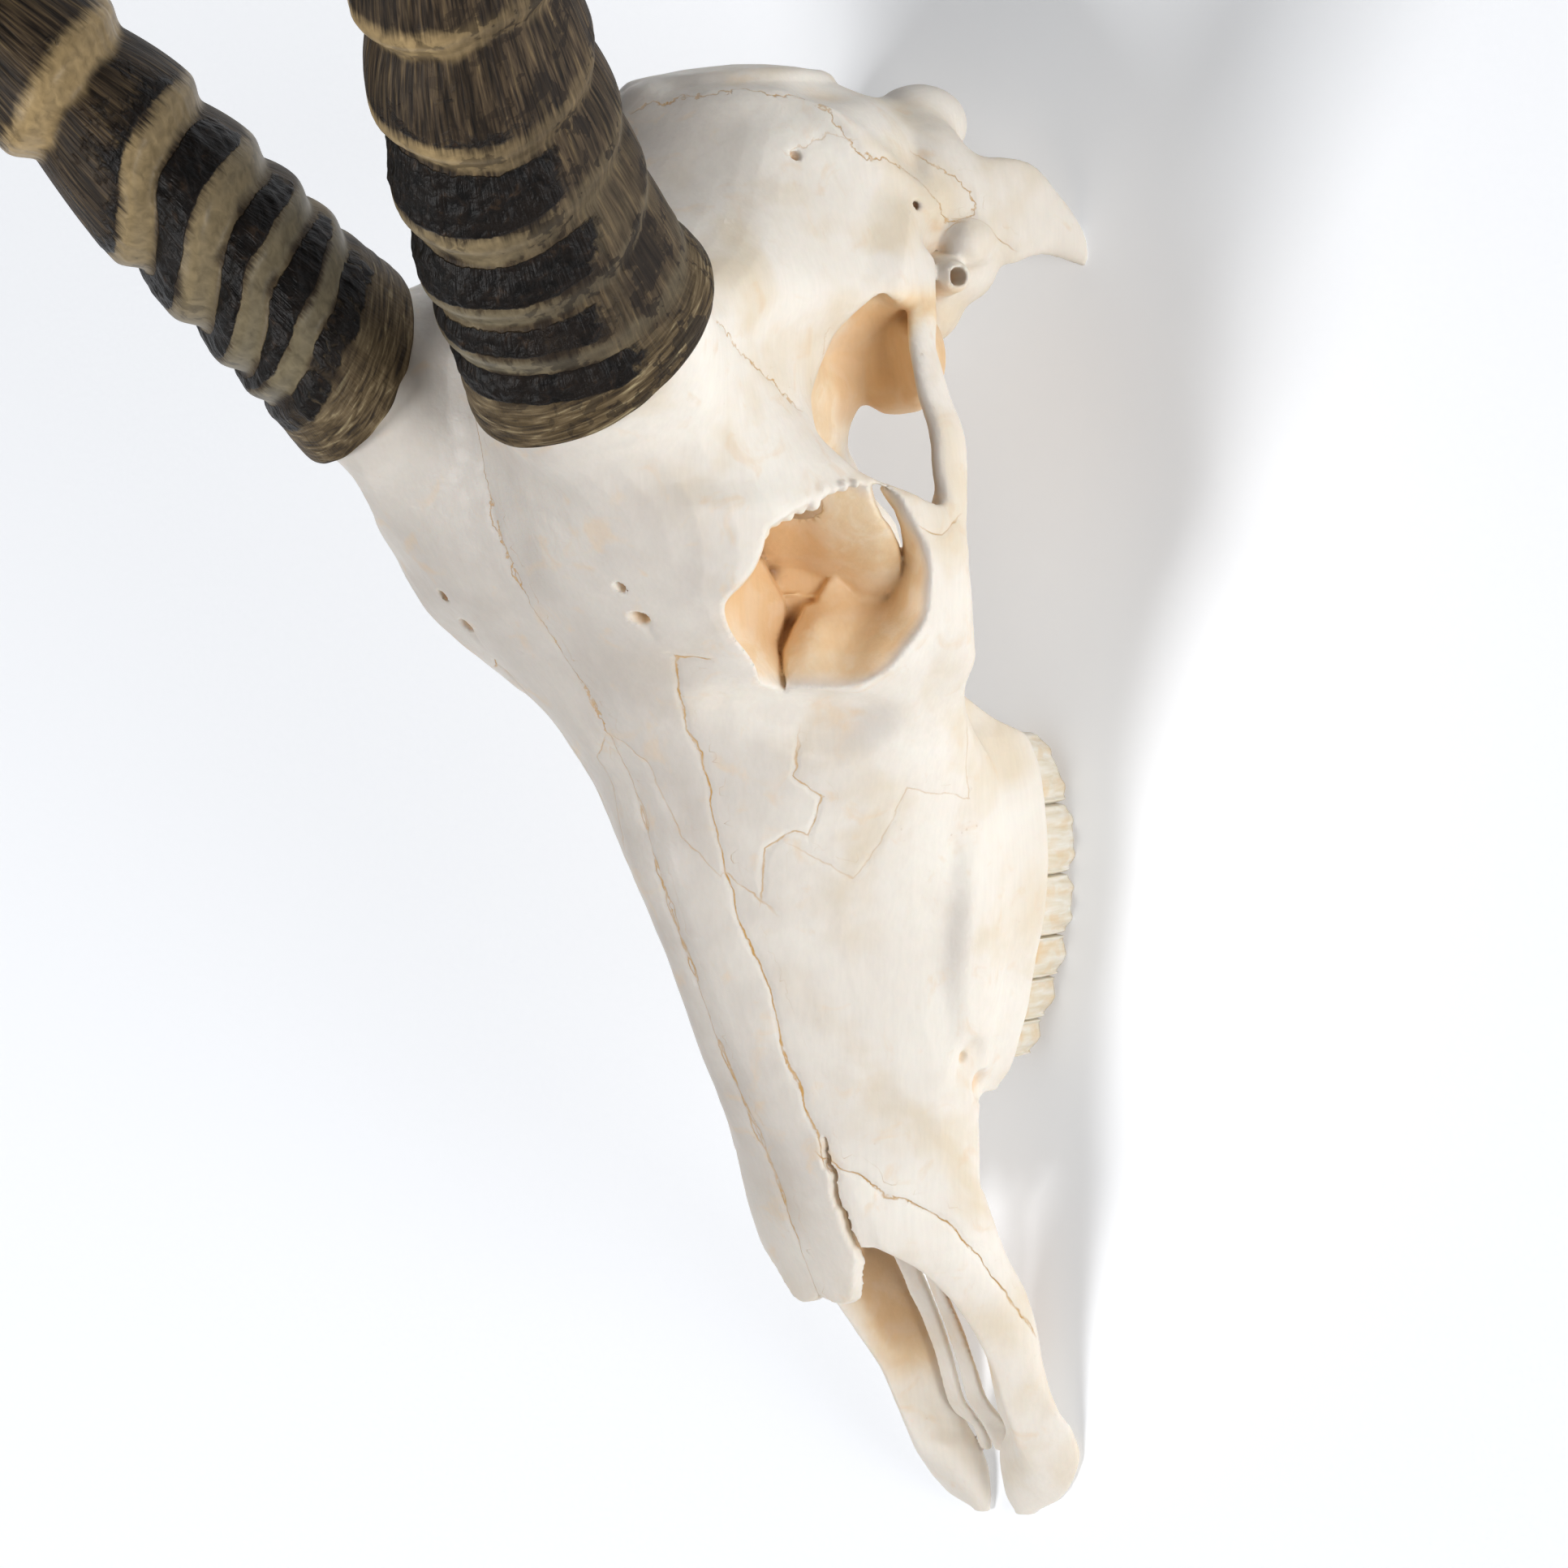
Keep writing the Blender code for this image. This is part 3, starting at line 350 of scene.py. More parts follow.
# Walls of the socket: points (u, v, height), then the outline (u, v) outside which the wall falls away.
EYE_WALLS = [
    (
        [
            (0.5, 18.2, -2),
            (4.7, 20.3, 0),
            (-3.7, 13.9, -8),
            (4.7, 11.8, -8),
            (8.9, 9.7, -10),
            (-1.6, 6.4, -17),
            (5.5, 6.4, -15),
            (13.3, 8.5, -14),
            (13.1, 3, -19),
            (5.5, 2.4, -20),
            (0.5, 4.3, -20),
            (-5.9, 13.9, -10),
            (-10.9, 9.7, -16),
            (-8, 5.5, -22),
            (-10.5, 3, -25),
            (-3.7, 3, -23),
            (-7.1, -0.4, -28),
            (-8.8, -5.4, -30),
        ],
        [
            (7, 21.4),
            (8, 17.8),
            (9.6, 14.8),
            (11.2, 13),
            (13, 9.6),
            (13.8, 6.8),
            (14.2, -30),
            (-40, -30),
            (-40, 30),
            (6.4, 30),
        ],
    ),
    (
        [
            (-22.3, -3.7, -3),
            (-15.5, 6.4, -14),
            (-10.9, -2.1, -20),
            (-10.5, -6.3, -21),
            (-16.4, -0.8, -12),
            (-18.5, -7.1, -9),
            (-12.2, -11.3, -18),
            (-11.7, -15.5, -14),
            (-16.4, -13.4, -8),
            (-15.1, -17.2, -6),
            (-10.9, -18.9, -12),
        ],
        [
            (-15.3, 6.6),
            (-12.8, 1.7),
            (-10.9, -1.6),
            (-10.4, -4.6),
            (-10.6, -7.1),
            (-11.2, -9.2),
            (-11.8, -11.3),
            (-11.7, -13.9),
            (-11.2, -16),
            (-10.6, -19.1),
            (-10.6, -30),
            (-40, -30),
            (-40, 14),
        ],
    ),
    (
        [
            (-9.9, -18.9, -8),
            (-10.5, -12.6, -15),
            (-6.7, -12.6, -12),
            (-3.7, -7.1, -14),
            (-7.5, -6.3, -17),
            (-3.7, -2.5, -19),
            (0, 3, -21),
            (4.7, 1.3, -24),
            (11, 1.3, -25),
            (8.9, -3.7, -22),
            (4.7, -9.2, -18),
            (0.5, -13.4, -14),
            (6.8, -15.5, -11),
            (-1.6, -18.9, -8),
            (13.1, -2.9, -19),
            (16.5, 0.5, -13),
            (17.3, -5, -11),
            (13.1, -10.5, -10),
            (14.8, 6.4, -18),
            (17.3, 7.6, -11),
            (13.9, 13.9, -8),
        ],
        [
            (-9.9, -19.1),
            (-10.5, -16),
            (-10.7, -12.6),
            (-9.2, -9.2),
            (-7.5, -5.9),
            (-6.1, -3.1),
            (-4, -2.5),
            (-3.1, -0.8),
            (-2.1, 1.3),
            (0, 3.8),
            (2.2, 3),
            (4.7, 2.4),
            (7.6, 2.1),
            (11, 2.5),
            (13.5, 3.2),
            (14.3, 5.5),
            (14.8, 9.7),
            (14.2, 13.6),
            (12.7, 16.9),
            (9.3, 20.8),
            (12, 34),
            (40, 34),
            (40, -34),
            (-9.9, -34),
        ],
    ),
    (
        [(-11.2, -8, -22), (-11.2, -12.5, -18.5), (-11, -16, -16.5), (-10.3, -19, -14.5), (-13, -12, -18.5), (-9, -12, -18.5)],
        [(-14, -6.5), (-8, -6.5), (-8, -22), (-14, -22)],
    ),
]
# Bony knobs along the upper rim of the eye socket: (u, v, height), radius.
EYE_KNOBS = [
    (-14.6, 11, 15, 0.9),
    (-12.5, 13.2, 14.3, 0.9),
    (-10, 14.8, 13.2, 1.3),
    (-7.5, 16.2, 11.8, 1.2),
    (-5, 17.5, 10.5, 1.8),
    (-3.2, 19.8, 9.3, 1.6),
    (-0.8, 20.2, 7.8, 1.0),
    (1.4, 21, 6.4, 1.2),
    (4, 21.6, 4.3, 0.9),
]

# Sutures: strength, then points. Lines that meet are in different channels.
FINE_SEAMS = [
    [
        (1.0, [(32, 196, 109), (28, 196.5, 112), (26, 194, 110), (19.5, 183, 103.5), (17.6, 170, 95.5), (16.6, 164.5, 93.5),
               (14.5, 150, 88.5), (13.5, 140, 84.5), (13.2, 131, 80), (13, 120, 76), (12.8, 109, 72), (13, 95.5, 67),
               (14, 86, 63.5)]),
        (0.6, [(58.6, 220, 66.5), (59, 218.5, 62.5), (58.8, 220.5, 58.5)]),
        (0.8, [(40.8, 284, 31.5), (41.6, 280, 20.5)]),
        (0.75, [(0, 177, 104), (0, 150, 94.3), (0, 120, 82.5), (0, 98, 73), (0, 80, 64.5), (0, 54, 54)]),
    ],
    [
        (1.0, [(14, 86, 63.5), (17.8, 82.3, 57.4), (19.4, 77, 52), (22.2, 72.5, 41.6), (23.7, 68, 35), (23.9, 59.3, 27),
               (24, 46.8, 16), (23.9, 44, 13.4)]),
        (0.7, [(38.3, 182.3, 84.4), (30.3, 170, 82.4), (31.2, 167.6, 79.6), (32, 164.6, 76), (27.6, 156, 75.7),
               (25.2, 156.8, 80), (21.8, 154, 82.6), (18.4, 145, 81.8)]),
    ],
    [
        (0.5, [(14.6, 150, 88.5), (18, 142, 80.2)]),
        (0.35, [(25.5, 153, 76.6), (27.7, 149.6, 70), (29, 146.8, 64.7), (33.2, 153.3, 60.6), (38, 162.2, 58.3),
                (39.6, 165, 57.5), (38.8, 161.5, 39.4), (42.4, 176.7, 41.5)]),
        (0.45, [(2.9, 178.6, 105), (6.6, 175, 103), (7.3, 166.2, 98.6), (9.4, 157.5, 95.2), (13.6, 150, 89.4)]),
    ],
]
JAGGED_SEAMS = [
    [
        (0.9, [(4, 310.5, 88.5), (10.7, 312, 86.4), (20.3, 312.8, 79.5), (28.2, 311.7, 67.5), (34.9, 305.5, 63.2),
               (38, 300.2, 59), (38.8, 297.8, 54.6), (38, 293.4, 46), (39.6, 288.4, 39.7), (39.9, 284.4, 35)]),
        (0.8, [(51.6, 264, 116.8), (46.8, 257.3, 105), (45, 253, 96.6), (44.9, 247.5, 89.5)]),
    ],
    [
        (0.6, [(39.3, 281, 75.8), (39.2, 275.5, 74.3), (38.5, 265.8, 75.4), (38.2, 259.4, 74.8)]),
        (0.8, [(36.9, 298.4, 39), (39.8, 295.3, 35), (41.9, 291.2, 30), (42, 286.8, 29.6), (41, 284.2, 30.7),
               (39.9, 283.5, 33.5)]),
    ],
    [
        (0.8, [(0, 250, 138), (0, 235, 136), (0, 219, 132), (0, 201, 119.8), (0, 180, 106)]),
        (0.4, [(35, 300, 74.8), (36, 304, 66), (36.5, 303, 62)]),
    ],
]
# Open crack beside the left nasal bone: (x, y, z), half width.
CRACK = [
    (14.0, 90, 65, 0.3),
    (14.1, 86, 63.5, 0.55),
    (13.8, 79.4, 61.9, 0.8),
    (13.8, 74.5, 60.2, 1.0),
    (13.9, 70.5, 59, 0.95),
    (14.8, 65.5, 56.4, 1.1),
]

# Horns: the centre line starts inside the brow and turns by its splay and its rise as the distance s grows.
HORN_ROOT = (33.4, 251.0, 129.6)
HORN_RIM_S = 17.0
HORN_TIP_S = 380.0
HORN_HEADING = [
    (0, 12.2, 41.9),
    (120, 24.9, 36.9),
    (160, 27.0, 36.3),
    (200, 26.0, 38.5),
    (245, 20.0, 45.0),
    (290, 11.0, 55.0),
    (335, 2.0, 66.0),
    (380, -6.0, 74.0),
]
# Distance, half the long axis, half the short axis, turn of the long axis.
HORN_OVAL = [
    (0, 30.0, 21.6, -41.0),
    (17, 28.2, 20.4, -43.7),
    (30, 26.4, 18.8, -46.0),
    (60, 24.0, 18.0, -50.5),
    (120, 20.2, 16.8, -60.0),
    (200, 16.2, 14.6, -68.0),
    (280, 12.0, 11.2, -72.0),
    (340, 7.0, 6.8, -74.0),
    (374, 2.6, 2.5, -75.0),
]
HORN_LEAN = (5.8, -7.3)
# Crests of each horn: distance s of the crest at 0, 60, 120, 180, 240 and 300 degrees round the oval.
LEFT_CRESTS = [
    (29, 30, 35, 36, 35, 31),
    (50, 46, 47.5, 47, 47, 48),
    (68, 65, 64.5, 66, 64, 66),
    (87, 85, 87.5, 90, 87, 85),
    (110, 114, 115, 113.5, 112, 109),
    (134, 139, 141, 140, 138, 134),
    (158, 163, 165, 165, 162, 158),
    (180, 185, 187, 187, 185, 181),
    (201, 206, 208, 208, 206, 202),
    (221, 226, 228, 228, 226, 222),
    (240, 244, 246, 246, 244, 241),
    (256, 260, 262, 262, 260, 257),
]
RIGHT_CRESTS = [
    (31, 31, 33, 36.5, 34, 32),
    (44, 43, 42, 49.7, 44.5, 43),
    (57, 57, 55.5, 63.5, 58, 56),
    (75, 75, 71.5, 81, 76, 74),
    (97, 101, 103, 103.5, 98.5, 96),
    (121, 125, 128, 128, 124, 120),
    (145, 149, 152, 153, 149, 145),
    (168, 173, 176, 176, 173, 169),
    (191, 196, 198, 198, 195, 192),
    (213, 217, 219, 219, 216, 213),
    (233, 237, 239, 239, 236, 233),
    (252, 255, 256, 256, 254, 252),
]
# For each ring: half width of its pale band, height of its ridge.
RING_BAND = [2.4, 2.8, 4.0, 3.7, 4.3, 4.2, 4.0, 3.7, 3.4, 3.0, 2.6, 2.2]
RING_HEIGHT = [1.7, 2.3, 3.0, 3.5, 3.9, 3.7, 3.3, 2.9, 2.4, 2.0, 1.5, 1.0]
# How dark each valley is, from below the first ring upwards.
LEFT_TAR = [0.95, 0.75, 1.0, 0.95, 0.5, 0.3, 0.25, 0.25, 0.2, 0.2, 0.2, 0.2, 0.2]
RIGHT_TAR = [0.6, 1.0, 1.0, 1.0, 0.65, 0.3, 0.25, 0.25, 0.2, 0.2, 0.2, 0.2, 0.2]

# Cheek teeth: name, front and rear y, outer x at each end, width, lobes, bite height at each end.
TEETH = [
    ("premolar_2", 103.0, 110.6, 22.6, 25.2, 8.5, 1, 4.0, 1.6),
    ("premolar_3", 111.0, 119.8, 25.6, 28.8, 11.0, 1, 1.6, 0.4),
    ("premolar_4", 120.2, 129.0, 29.2, 32.0, 12.6, 1, 0.4, 0.0),
    ("molar_1", 129.4, 142.4, 32.4, 34.8, 14.6, 2, 0.0, 0.0),
    ("molar_2", 142.8, 157.8, 35.2, 35.6, 15.6, 2, 0.0, 0.3),
    ("molar_3", 158.2, 173.6, 35.4, 32.4, 14.6, 2, 0.5, 4.6),
]
TOOTH_TOP_Z = 24.0

# The photograph's view: the camera's place in table coordinates, its three directions, and its lens in millimetres.
CAMERA_EYE = (1074.7, 226.8, 1104.3)
CAMERA_RIGHT = (0.699, -0.061, -0.713)
CAMERA_UP = (0.014, 0.997, -0.072)
CAMERA_BACK = (0.715, 0.040, 0.698)
CAMERA_LENS = 159.76


def to_metres(points):
    """Table coordinates to the frame's metres: the nose tip lies ORIGIN_Y in front of the origin."""
    return (np.asarray(points, float) - np.array([0.0, ORIGIN_Y, 0.0])) * MM


def linear(code):
    """One sRGB hex code to linear red, green and blue."""
    parts = [int(code[i : i + 2], 16) / 255 for i in (1, 3, 5)]
    return tuple(c / 12.92 if c <= 0.04045 else ((c + 0.055) / 1.055) ** 2.4 for c in parts)


def cloud(points, cell, seed):
    """Value noise from -1 to 1: random numbers on a lattice one cell apart, blended by 3t^2 - 2t^3 along each axis."""
    table = np.random.default_rng(seed).uniform(-1, 1, (16, 16, 16)).astype(np.float32)
    q = np.asarray(points, np.float32) / cell
    low = np.floor(q).astype(np.int32)
    t = q - low
    t = t * t * (3 - 2 * t)
    total = np.zeros(q.shape[:-1], np.float32)
    for corner in ((i, j, k) for i in (0, 1) for j in (0, 1) for k in (0, 1)):
        at = (low + corner) % 16
        share = np.where(corner, t, 1 - t).prod(axis=-1)
        total += share * table[at[..., 0], at[..., 1], at[..., 2]]
    return total


def smooth(low, high, value):
    """3t^2 - 2t^3 of the way from low to high, held at 0 and 1 outside."""
    t = np.clip((value - low) / (high - low), 0, 1)
    return t * t * (3 - 2 * t)


def hermite(keys, rows, wanted):
    """Monotone cubic through the rows: each slope is the harmonic mean of the chords beside it."""
    keys = np.asarray(keys, float)
    rows = np.asarray(rows, float).reshape(len(keys), -1)
    gap = np.diff(keys)[:, None]
    chord = np.diff(rows, axis=0) / gap
    slope = np.zeros_like(rows)
    same = chord[:-1] * chord[1:] > 0
    slope[1:-1] = np.where(same, 2 * chord[:-1] * chord[1:] / np.where(same, chord[:-1] + chord[1:], 1), 0)
    slope[0] = chord[0]
    slope[-1] = chord[-1]
    wanted = np.clip(np.asarray(wanted, float), keys[0], keys[-1])
    index = np.clip(np.searchsorted(keys, wanted, side="right") - 1, 0, len(keys) - 2)
    width = gap[index]
    t = (wanted - keys[index])[:, None] / width
    return (
        rows[index] * (2 * t**3 - 3 * t**2 + 1)
        + slope[index] * width * (t**3 - 2 * t**2 + t)
        + rows[index + 1] * (3 * t**2 - 2 * t**3)
        + slope[index + 1] * width * (t**3 - t**2)
    )


def table_rows(table, wanted):
    keys = sorted(table)
    return hermite(keys, [np.ravel(table[key]) for key in keys], wanted)


def round_outline(points, per_span):
    """Closed Catmull-Rom spline: each span blends four neighbouring points by cubics of its own parameter."""
    before = np.roll(points, 1, axis=0)
    after = np.roll(points, -1, axis=0)
    beyond = np.roll(points, -2, axis=0)
    t = (np.arange(per_span) / per_span)[None, :, None]
    p0, p1, p2, p3 = (a[:, None, :] for a in (before, points, after, beyond))
    out = 0.5 * (2 * p1 + (p2 - p0) * t + (2 * p0 - 5 * p1 + 4 * p2 - p3) * t**2 + (3 * p1 - p0 - 3 * p2 + p3) * t**3)
    return out.reshape(-1, points.shape[1])


def whole_outline(half):
    return np.concatenate([half, half[-2:0:-1] * np.array([-1.0, 1.0])])


def soft_min(a, b, k):
    """The smaller of two distances, with a fillet k wide: the minimum less a quarter of k times the squared share
    of k by which the two differ."""
    if k <= 0:
        return np.minimum(a, b)
    h = np.maximum(k - np.abs(a - b), 0) / k
    return np.minimum(a, b) - h * h * (k / 4)


def outline_distance(outline, x, z):
    """Signed distance in one slice: the distance to the nearest edge, negative where a ray crosses an odd number."""
    ax, az = outline[:, 0].astype(np.float32), outline[:, 1].astype(np.float32)
    ex, ez = np.roll(ax, -1) - ax, np.roll(az, -1) - az
    wx = x[:, None, None] - ax
    wz = z[None, :, None] - az
    t = np.clip((wx * ex + wz * ez) / (ex * ex + ez * ez + 1e-9), 0, 1)
    d = ((wx - ex * t) ** 2 + (wz - ez * t) ** 2).min(axis=2)
    crossed = ((wz >= 0) != (wz - ez >= 0)) & (wx < ex * wz / np.where(ez == 0, 1e-9, ez))
    return np.sqrt(d) * np.where(crossed.sum(axis=2) % 2, -1, 1)


class BoneField:
    """Signed distances in mm over the left half of the skull, on a regular grid."""

    def __init__(self, step):
        self.step = step
        self.axes = [
            np.arange(0, 64, step, dtype=np.float32),
            np.arange(-3, 324, step, dtype=np.float32),
            np.arange(-3, 163, step, dtype=np.float32),
        ]
        self.f = np.full([len(a) for a in self.axes], 12, np.float32)

    def block(self, low, high):
        """The part of the grid between two corners, with its open coordinate arrays."""
        cuts = tuple(slice(*np.searchsorted(a, (lo, hi))) for a, lo, hi in zip(self.axes, low, high))
        x, y, z = (a[c] for a, c in zip(self.axes, cuts))
        return cuts, x[:, None, None], y[None, :, None], z[None, None, :]

    def join(self, cuts, d, soft):
        self.f[cuts] = soft_min(self.f[cuts], d.astype(np.float32), soft)

    def carve(self, cuts, d, soft):
        self.f[cuts] = -soft_min(-self.f[cuts], d.astype(np.float32), soft)

    def sections(self, table, low, high, whole, ends):
        """One outline per slice along y; beyond the table's ends the distance grows with y too."""
        cuts, x, y, z = self.block(low, high)
        ys = y.ravel()
        rows = table_rows(table, ys)
        d = np.empty(self.f[cuts].shape, np.float32)
        for i, row in enumerate(rows):
            outline = row.reshape(-1, 2)
            outline = round_outline(whole_outline(outline) if whole else outline, 3)
            d[:, i] = outline_distance(outline, x.ravel(), z.ravel())
        return cuts, close_ends(d, y, min(table), max(table), ends)

    def plate(self, table, low, high):
        """Distance to a straight line between two edges in each slice, less half the plate's thickness."""
        cuts, x, y, z = self.block(low, high)
        ax, az, bx, bz, thick = (c[None, :, None] for c in table_rows(table, y.ravel()).T)
        length = np.hypot(bx - ax, bz - az)
        inset = np.minimum(thick / 2, length * 0.49) / length
        ex, ez = bx - ax, bz - az
        ax, az = ax + ex * inset, az + ez * inset
        ex, ez = ex * (1 - 2 * inset), ez * (1 - 2 * inset)
        t = np.clip(((x - ax) * ex + (z - az) * ez) / (ex * ex + ez * ez), 0, 1)
        d = np.hypot(x - ax - ex * t, z - az - ez * t) - thick / 2
        return cuts, close_ends(d, y, min(table), max(table), 1.0)

    def bar(self, path, upright, margin=6):
        """Distance to a chain of ovals along a path: the nearest oval's scaled radius less one, in mm."""
        path = np.array(path, float)
        fine = np.linspace(0, len(path) - 1, (len(path) - 1) * 12 + 1)
        rows = hermite(np.arange(len(path)), path, fine)
        centres, halves = rows[:, :3], rows[:, 3:]
        reach = halves.max(axis=1)[:, None] + margin
        cuts, x, y, z = self.block((centres - reach).min(axis=0), (centres + reach).max(axis=0))
        ahead = np.gradient(centres, axis=0)
        ahead /= np.linalg.norm(ahead, axis=1)[:, None]
        across = np.cross(ahead, upright)
        across /= np.linalg.norm(across, axis=1)[:, None]
        up = np.cross(across, ahead)
        best = np.full(self.f[cuts].shape, 99, np.float32)
        for c, (w, h), a, u, f in zip(centres, halves, across, up, ahead):
            px, py, pz = x - c[0], y - c[1], z - c[2]
            q = np.sqrt(
                ((px * a[0] + py * a[1] + pz * a[2]) / w) ** 2
                + ((px * u[0] + py * u[1] + pz * u[2]) / h) ** 2
                + ((px * f[0] + py * f[1] + pz * f[2]) / min(w, h)) ** 2
            )
            best = np.minimum(best, (q - 1) * min(w, h))
        return cuts, best

    def lump(self, centre, halves, margin=6):
        """Distance to an ellipsoid: q(q - 1) over the length of q's slope, where q is the scaled radius."""
        centre, halves = np.array(centre, float), np.array(halves, float)
        cuts, x, y, z = self.block(centre - halves - margin, centre + halves + margin)
        px, py, pz = ((g - c) / h for g, c, h in zip((x, y, z), centre, halves))
        q = np.sqrt(px**2 + py**2 + pz**2) + 1e-6
        slope = np.sqrt((px / halves[0]) ** 2 + (py / halves[1]) ** 2 + (pz / halves[2]) ** 2) + 1e-6
        return cuts, q * (q - 1) / slope


def close_ends(d, y, first, last, radius):
    """Rounds the flat ends of a form swept along y."""
    past = np.maximum(np.maximum(first - y, y - last), 0)
    return np.where(past > 0, np.hypot(np.maximum(d + radius, 0), past) - radius, d)


def surface_nets(f, axes):
    """Skins the zero level: one vertex in each cell that the level crosses, at the mean of its edge crossings, and
    one quad round each grid edge whose ends differ in sign. Returns vertices in mm and quads that face outwards."""
    inside = f < 0
    count = np.zeros([n - 1 for n in f.shape], np.uint8)
    corners = [(i, j, k) for i in (0, 1) for j in (0, 1) for k in (0, 1)]
    for i, j, k in corners:
        count += inside[i : f.shape[0] - 1 + i, j : f.shape[1] - 1 + j, k : f.shape[2] - 1 + k]
    cell = np.argwhere((count > 0) & (count < 8))
    number = np.full(count.shape, -1, np.int32)
    number[tuple(cell.T)] = np.arange(len(cell))
    value = np.stack([f[tuple((cell + c).T)] for c in corners], axis=1)
    total = np.zeros((len(cell), 3))
    hits = np.zeros(len(cell))
    for a in range(8):
        for b in range(a + 1, 8):
            ca, cb = np.array(corners[a]), np.array(corners[b])
            if np.abs(ca - cb).sum() != 1:
                continue
            va, vb = value[:, a], value[:, b]
            crossed = (va < 0) != (vb < 0)
            t = np.where(crossed, va / np.where(crossed, va - vb, 1), 0)
            total += np.where(crossed[:, None], ca + t[:, None] * (cb - ca), 0)
            hits += crossed
    points = cell + total / hits[:, None]
    points = np.stack([axis[0] + points[:, i] * (axis[1] - axis[0]) for i, axis in enumerate(axes)], axis=1)
    quads = []
    for way in range(3):
        near = [slice(None)] * 3
        far = [slice(None)] * 3
        near[way], far[way] = slice(None, -1), slice(1, None)
        edge = np.argwhere(inside[tuple(near)] != inside[tuple(far)])
        u, v = (way + 1) % 3, (way + 2) % 3
        edge = edge[(edge[:, u] > 0) & (edge[:, v] > 0)]
        edge = edge[(edge[:, u] < count.shape[u]) & (edge[:, v] < count.shape[v])]
        ring = []
        for du, dv in ((1, 1), (0, 1), (0, 0), (1, 0)):
            corner = edge.copy()
            corner[:, u] -= du
            corner[:, v] -= dv
            ring.append(number[tuple(corner.T)])
        quad = np.stack(ring, axis=1)
        solid_first = inside[tuple(edge.T)]
        quads.append(np.where(solid_first[:, None], quad, quad[:, ::-1]))
    return points, np.concatenate(quads)


def relax(points, quads, rounds, share):
    """Moves each vertex by a share of the way to the mean of its neighbours, then back by a little less."""
    a = np.concatenate([quads[:, i] for i in range(4)])
    b = np.concatenate([quads[:, (i + 1) % 4] for i in range(4)])
    a, b = np.concatenate([a, b]), np.concatenate([b, a])
    degree = np.bincount(a, minlength=len(points))[:, None]
    for turn in range(rounds * 2):
        mean = np.stack([np.bincount(a, points[b, i], len(points)) for i in range(3)], axis=1) / degree
        points = points + (mean - points) * (share if turn % 2 == 0 else -share * 0.96)
    return points


def main_body(points, quads):
    """Keeps the largest connected part: labels sink to the lowest one they touch until none changes."""
    label = np.arange(len(points))
    while True:
        low = label[quads].min(axis=1)
        before = label.copy()
        for i in range(4):
            np.minimum.at(label, quads[:, i], low)
        label = label[label]
        if (label == before).all():
            break
    keep = label == np.bincount(label).argmax()
    number = np.cumsum(keep) - 1
    quads = quads[keep[quads[:, 0]]]
    return points[keep], number[quads]


def horn_frames(distances):
    """Centre line and its forward, sideways and upward directions at each distance s along the left horn: the
    direction turns by splay and rise, and the centre is its running sum."""
    fine = np.linspace(0, HORN_TIP_S, 761)
    table = np.array(HORN_HEADING, float)
    splay, rise = np.radians(hermite(table[:, 0], table[:, 1:], fine)).T
    ahead = np.column_stack([np.sin(splay), np.cos(splay) * np.cos(rise), np.cos(splay) * np.sin(rise)])
    way = np.vstack([np.zeros(3), np.cumsum((ahead[:-1] + ahead[1:]) / 2 * (fine[1] - fine[0]), axis=0)])
    way += np.array(HORN_ROOT)
    shape = np.shape(distances)
    flat = np.clip(np.ravel(distances), 0, HORN_TIP_S)
    centre, forward = (np.column_stack([np.interp(flat, fine, a[:, i]) for i in range(3)]) for a in (way, ahead))
    forward /= np.linalg.norm(forward, axis=1)[:, None]
    side = np.cross(forward, [0.0, 0.0, 1.0])
    side /= np.linalg.norm(side, axis=1)[:, None]
    return tuple(a.reshape(*shape, 3) for a in (centre, forward, side, np.cross(side, forward)))


def horn_surface(s, turn, margin):
    """Points of the leaning oval: centre(s) + cos(turn) long axis + sin(turn) short axis, each axis longer by the
    margin, where s shifts round the oval by the lean."""
    table = np.array(HORN_OVAL, float)
    s, turn, margin = np.broadcast_arrays(s, turn, margin)
    size = hermite(table[:, 0], table[:, 1:], s.ravel()).reshape(*s.shape, 3)
    lean = np.interp(s, [HORN_RIM_S, 90, HORN_TIP_S - 40, HORN_TIP_S], [1.0, 0.75, 0.3, 0.0])
    shifted = s + lean * (HORN_LEAN[0] * np.cos(turn) + HORN_LEAN[1] * np.sin(turn))
    centre, _, side, up = horn_frames(shifted)
    angle = np.radians(size[..., 2])[..., None]
    long_way = np.cos(angle) * side + np.sin(angle) * up
    short_way = -np.sin(angle) * side + np.cos(angle) * up
    return (
        centre
        + (np.cos(turn) * (size[..., 0] + margin))[..., None] * long_way
        + (np.sin(turn) * (size[..., 1] + margin))[..., None] * short_way
    )


def base_plane():
    """Middle and outward normal of the flat seat under the horn."""
    turn = np.linspace(0, 2 * math.pi, 24, endpoint=False)
    ring = horn_surface(np.full(24, HORN_RIM_S), turn, 0.0)
    middle = ring.mean(axis=0)
    normal = np.linalg.svd(ring - middle)[2][2]
    return middle, normal * np.sign(normal[2])


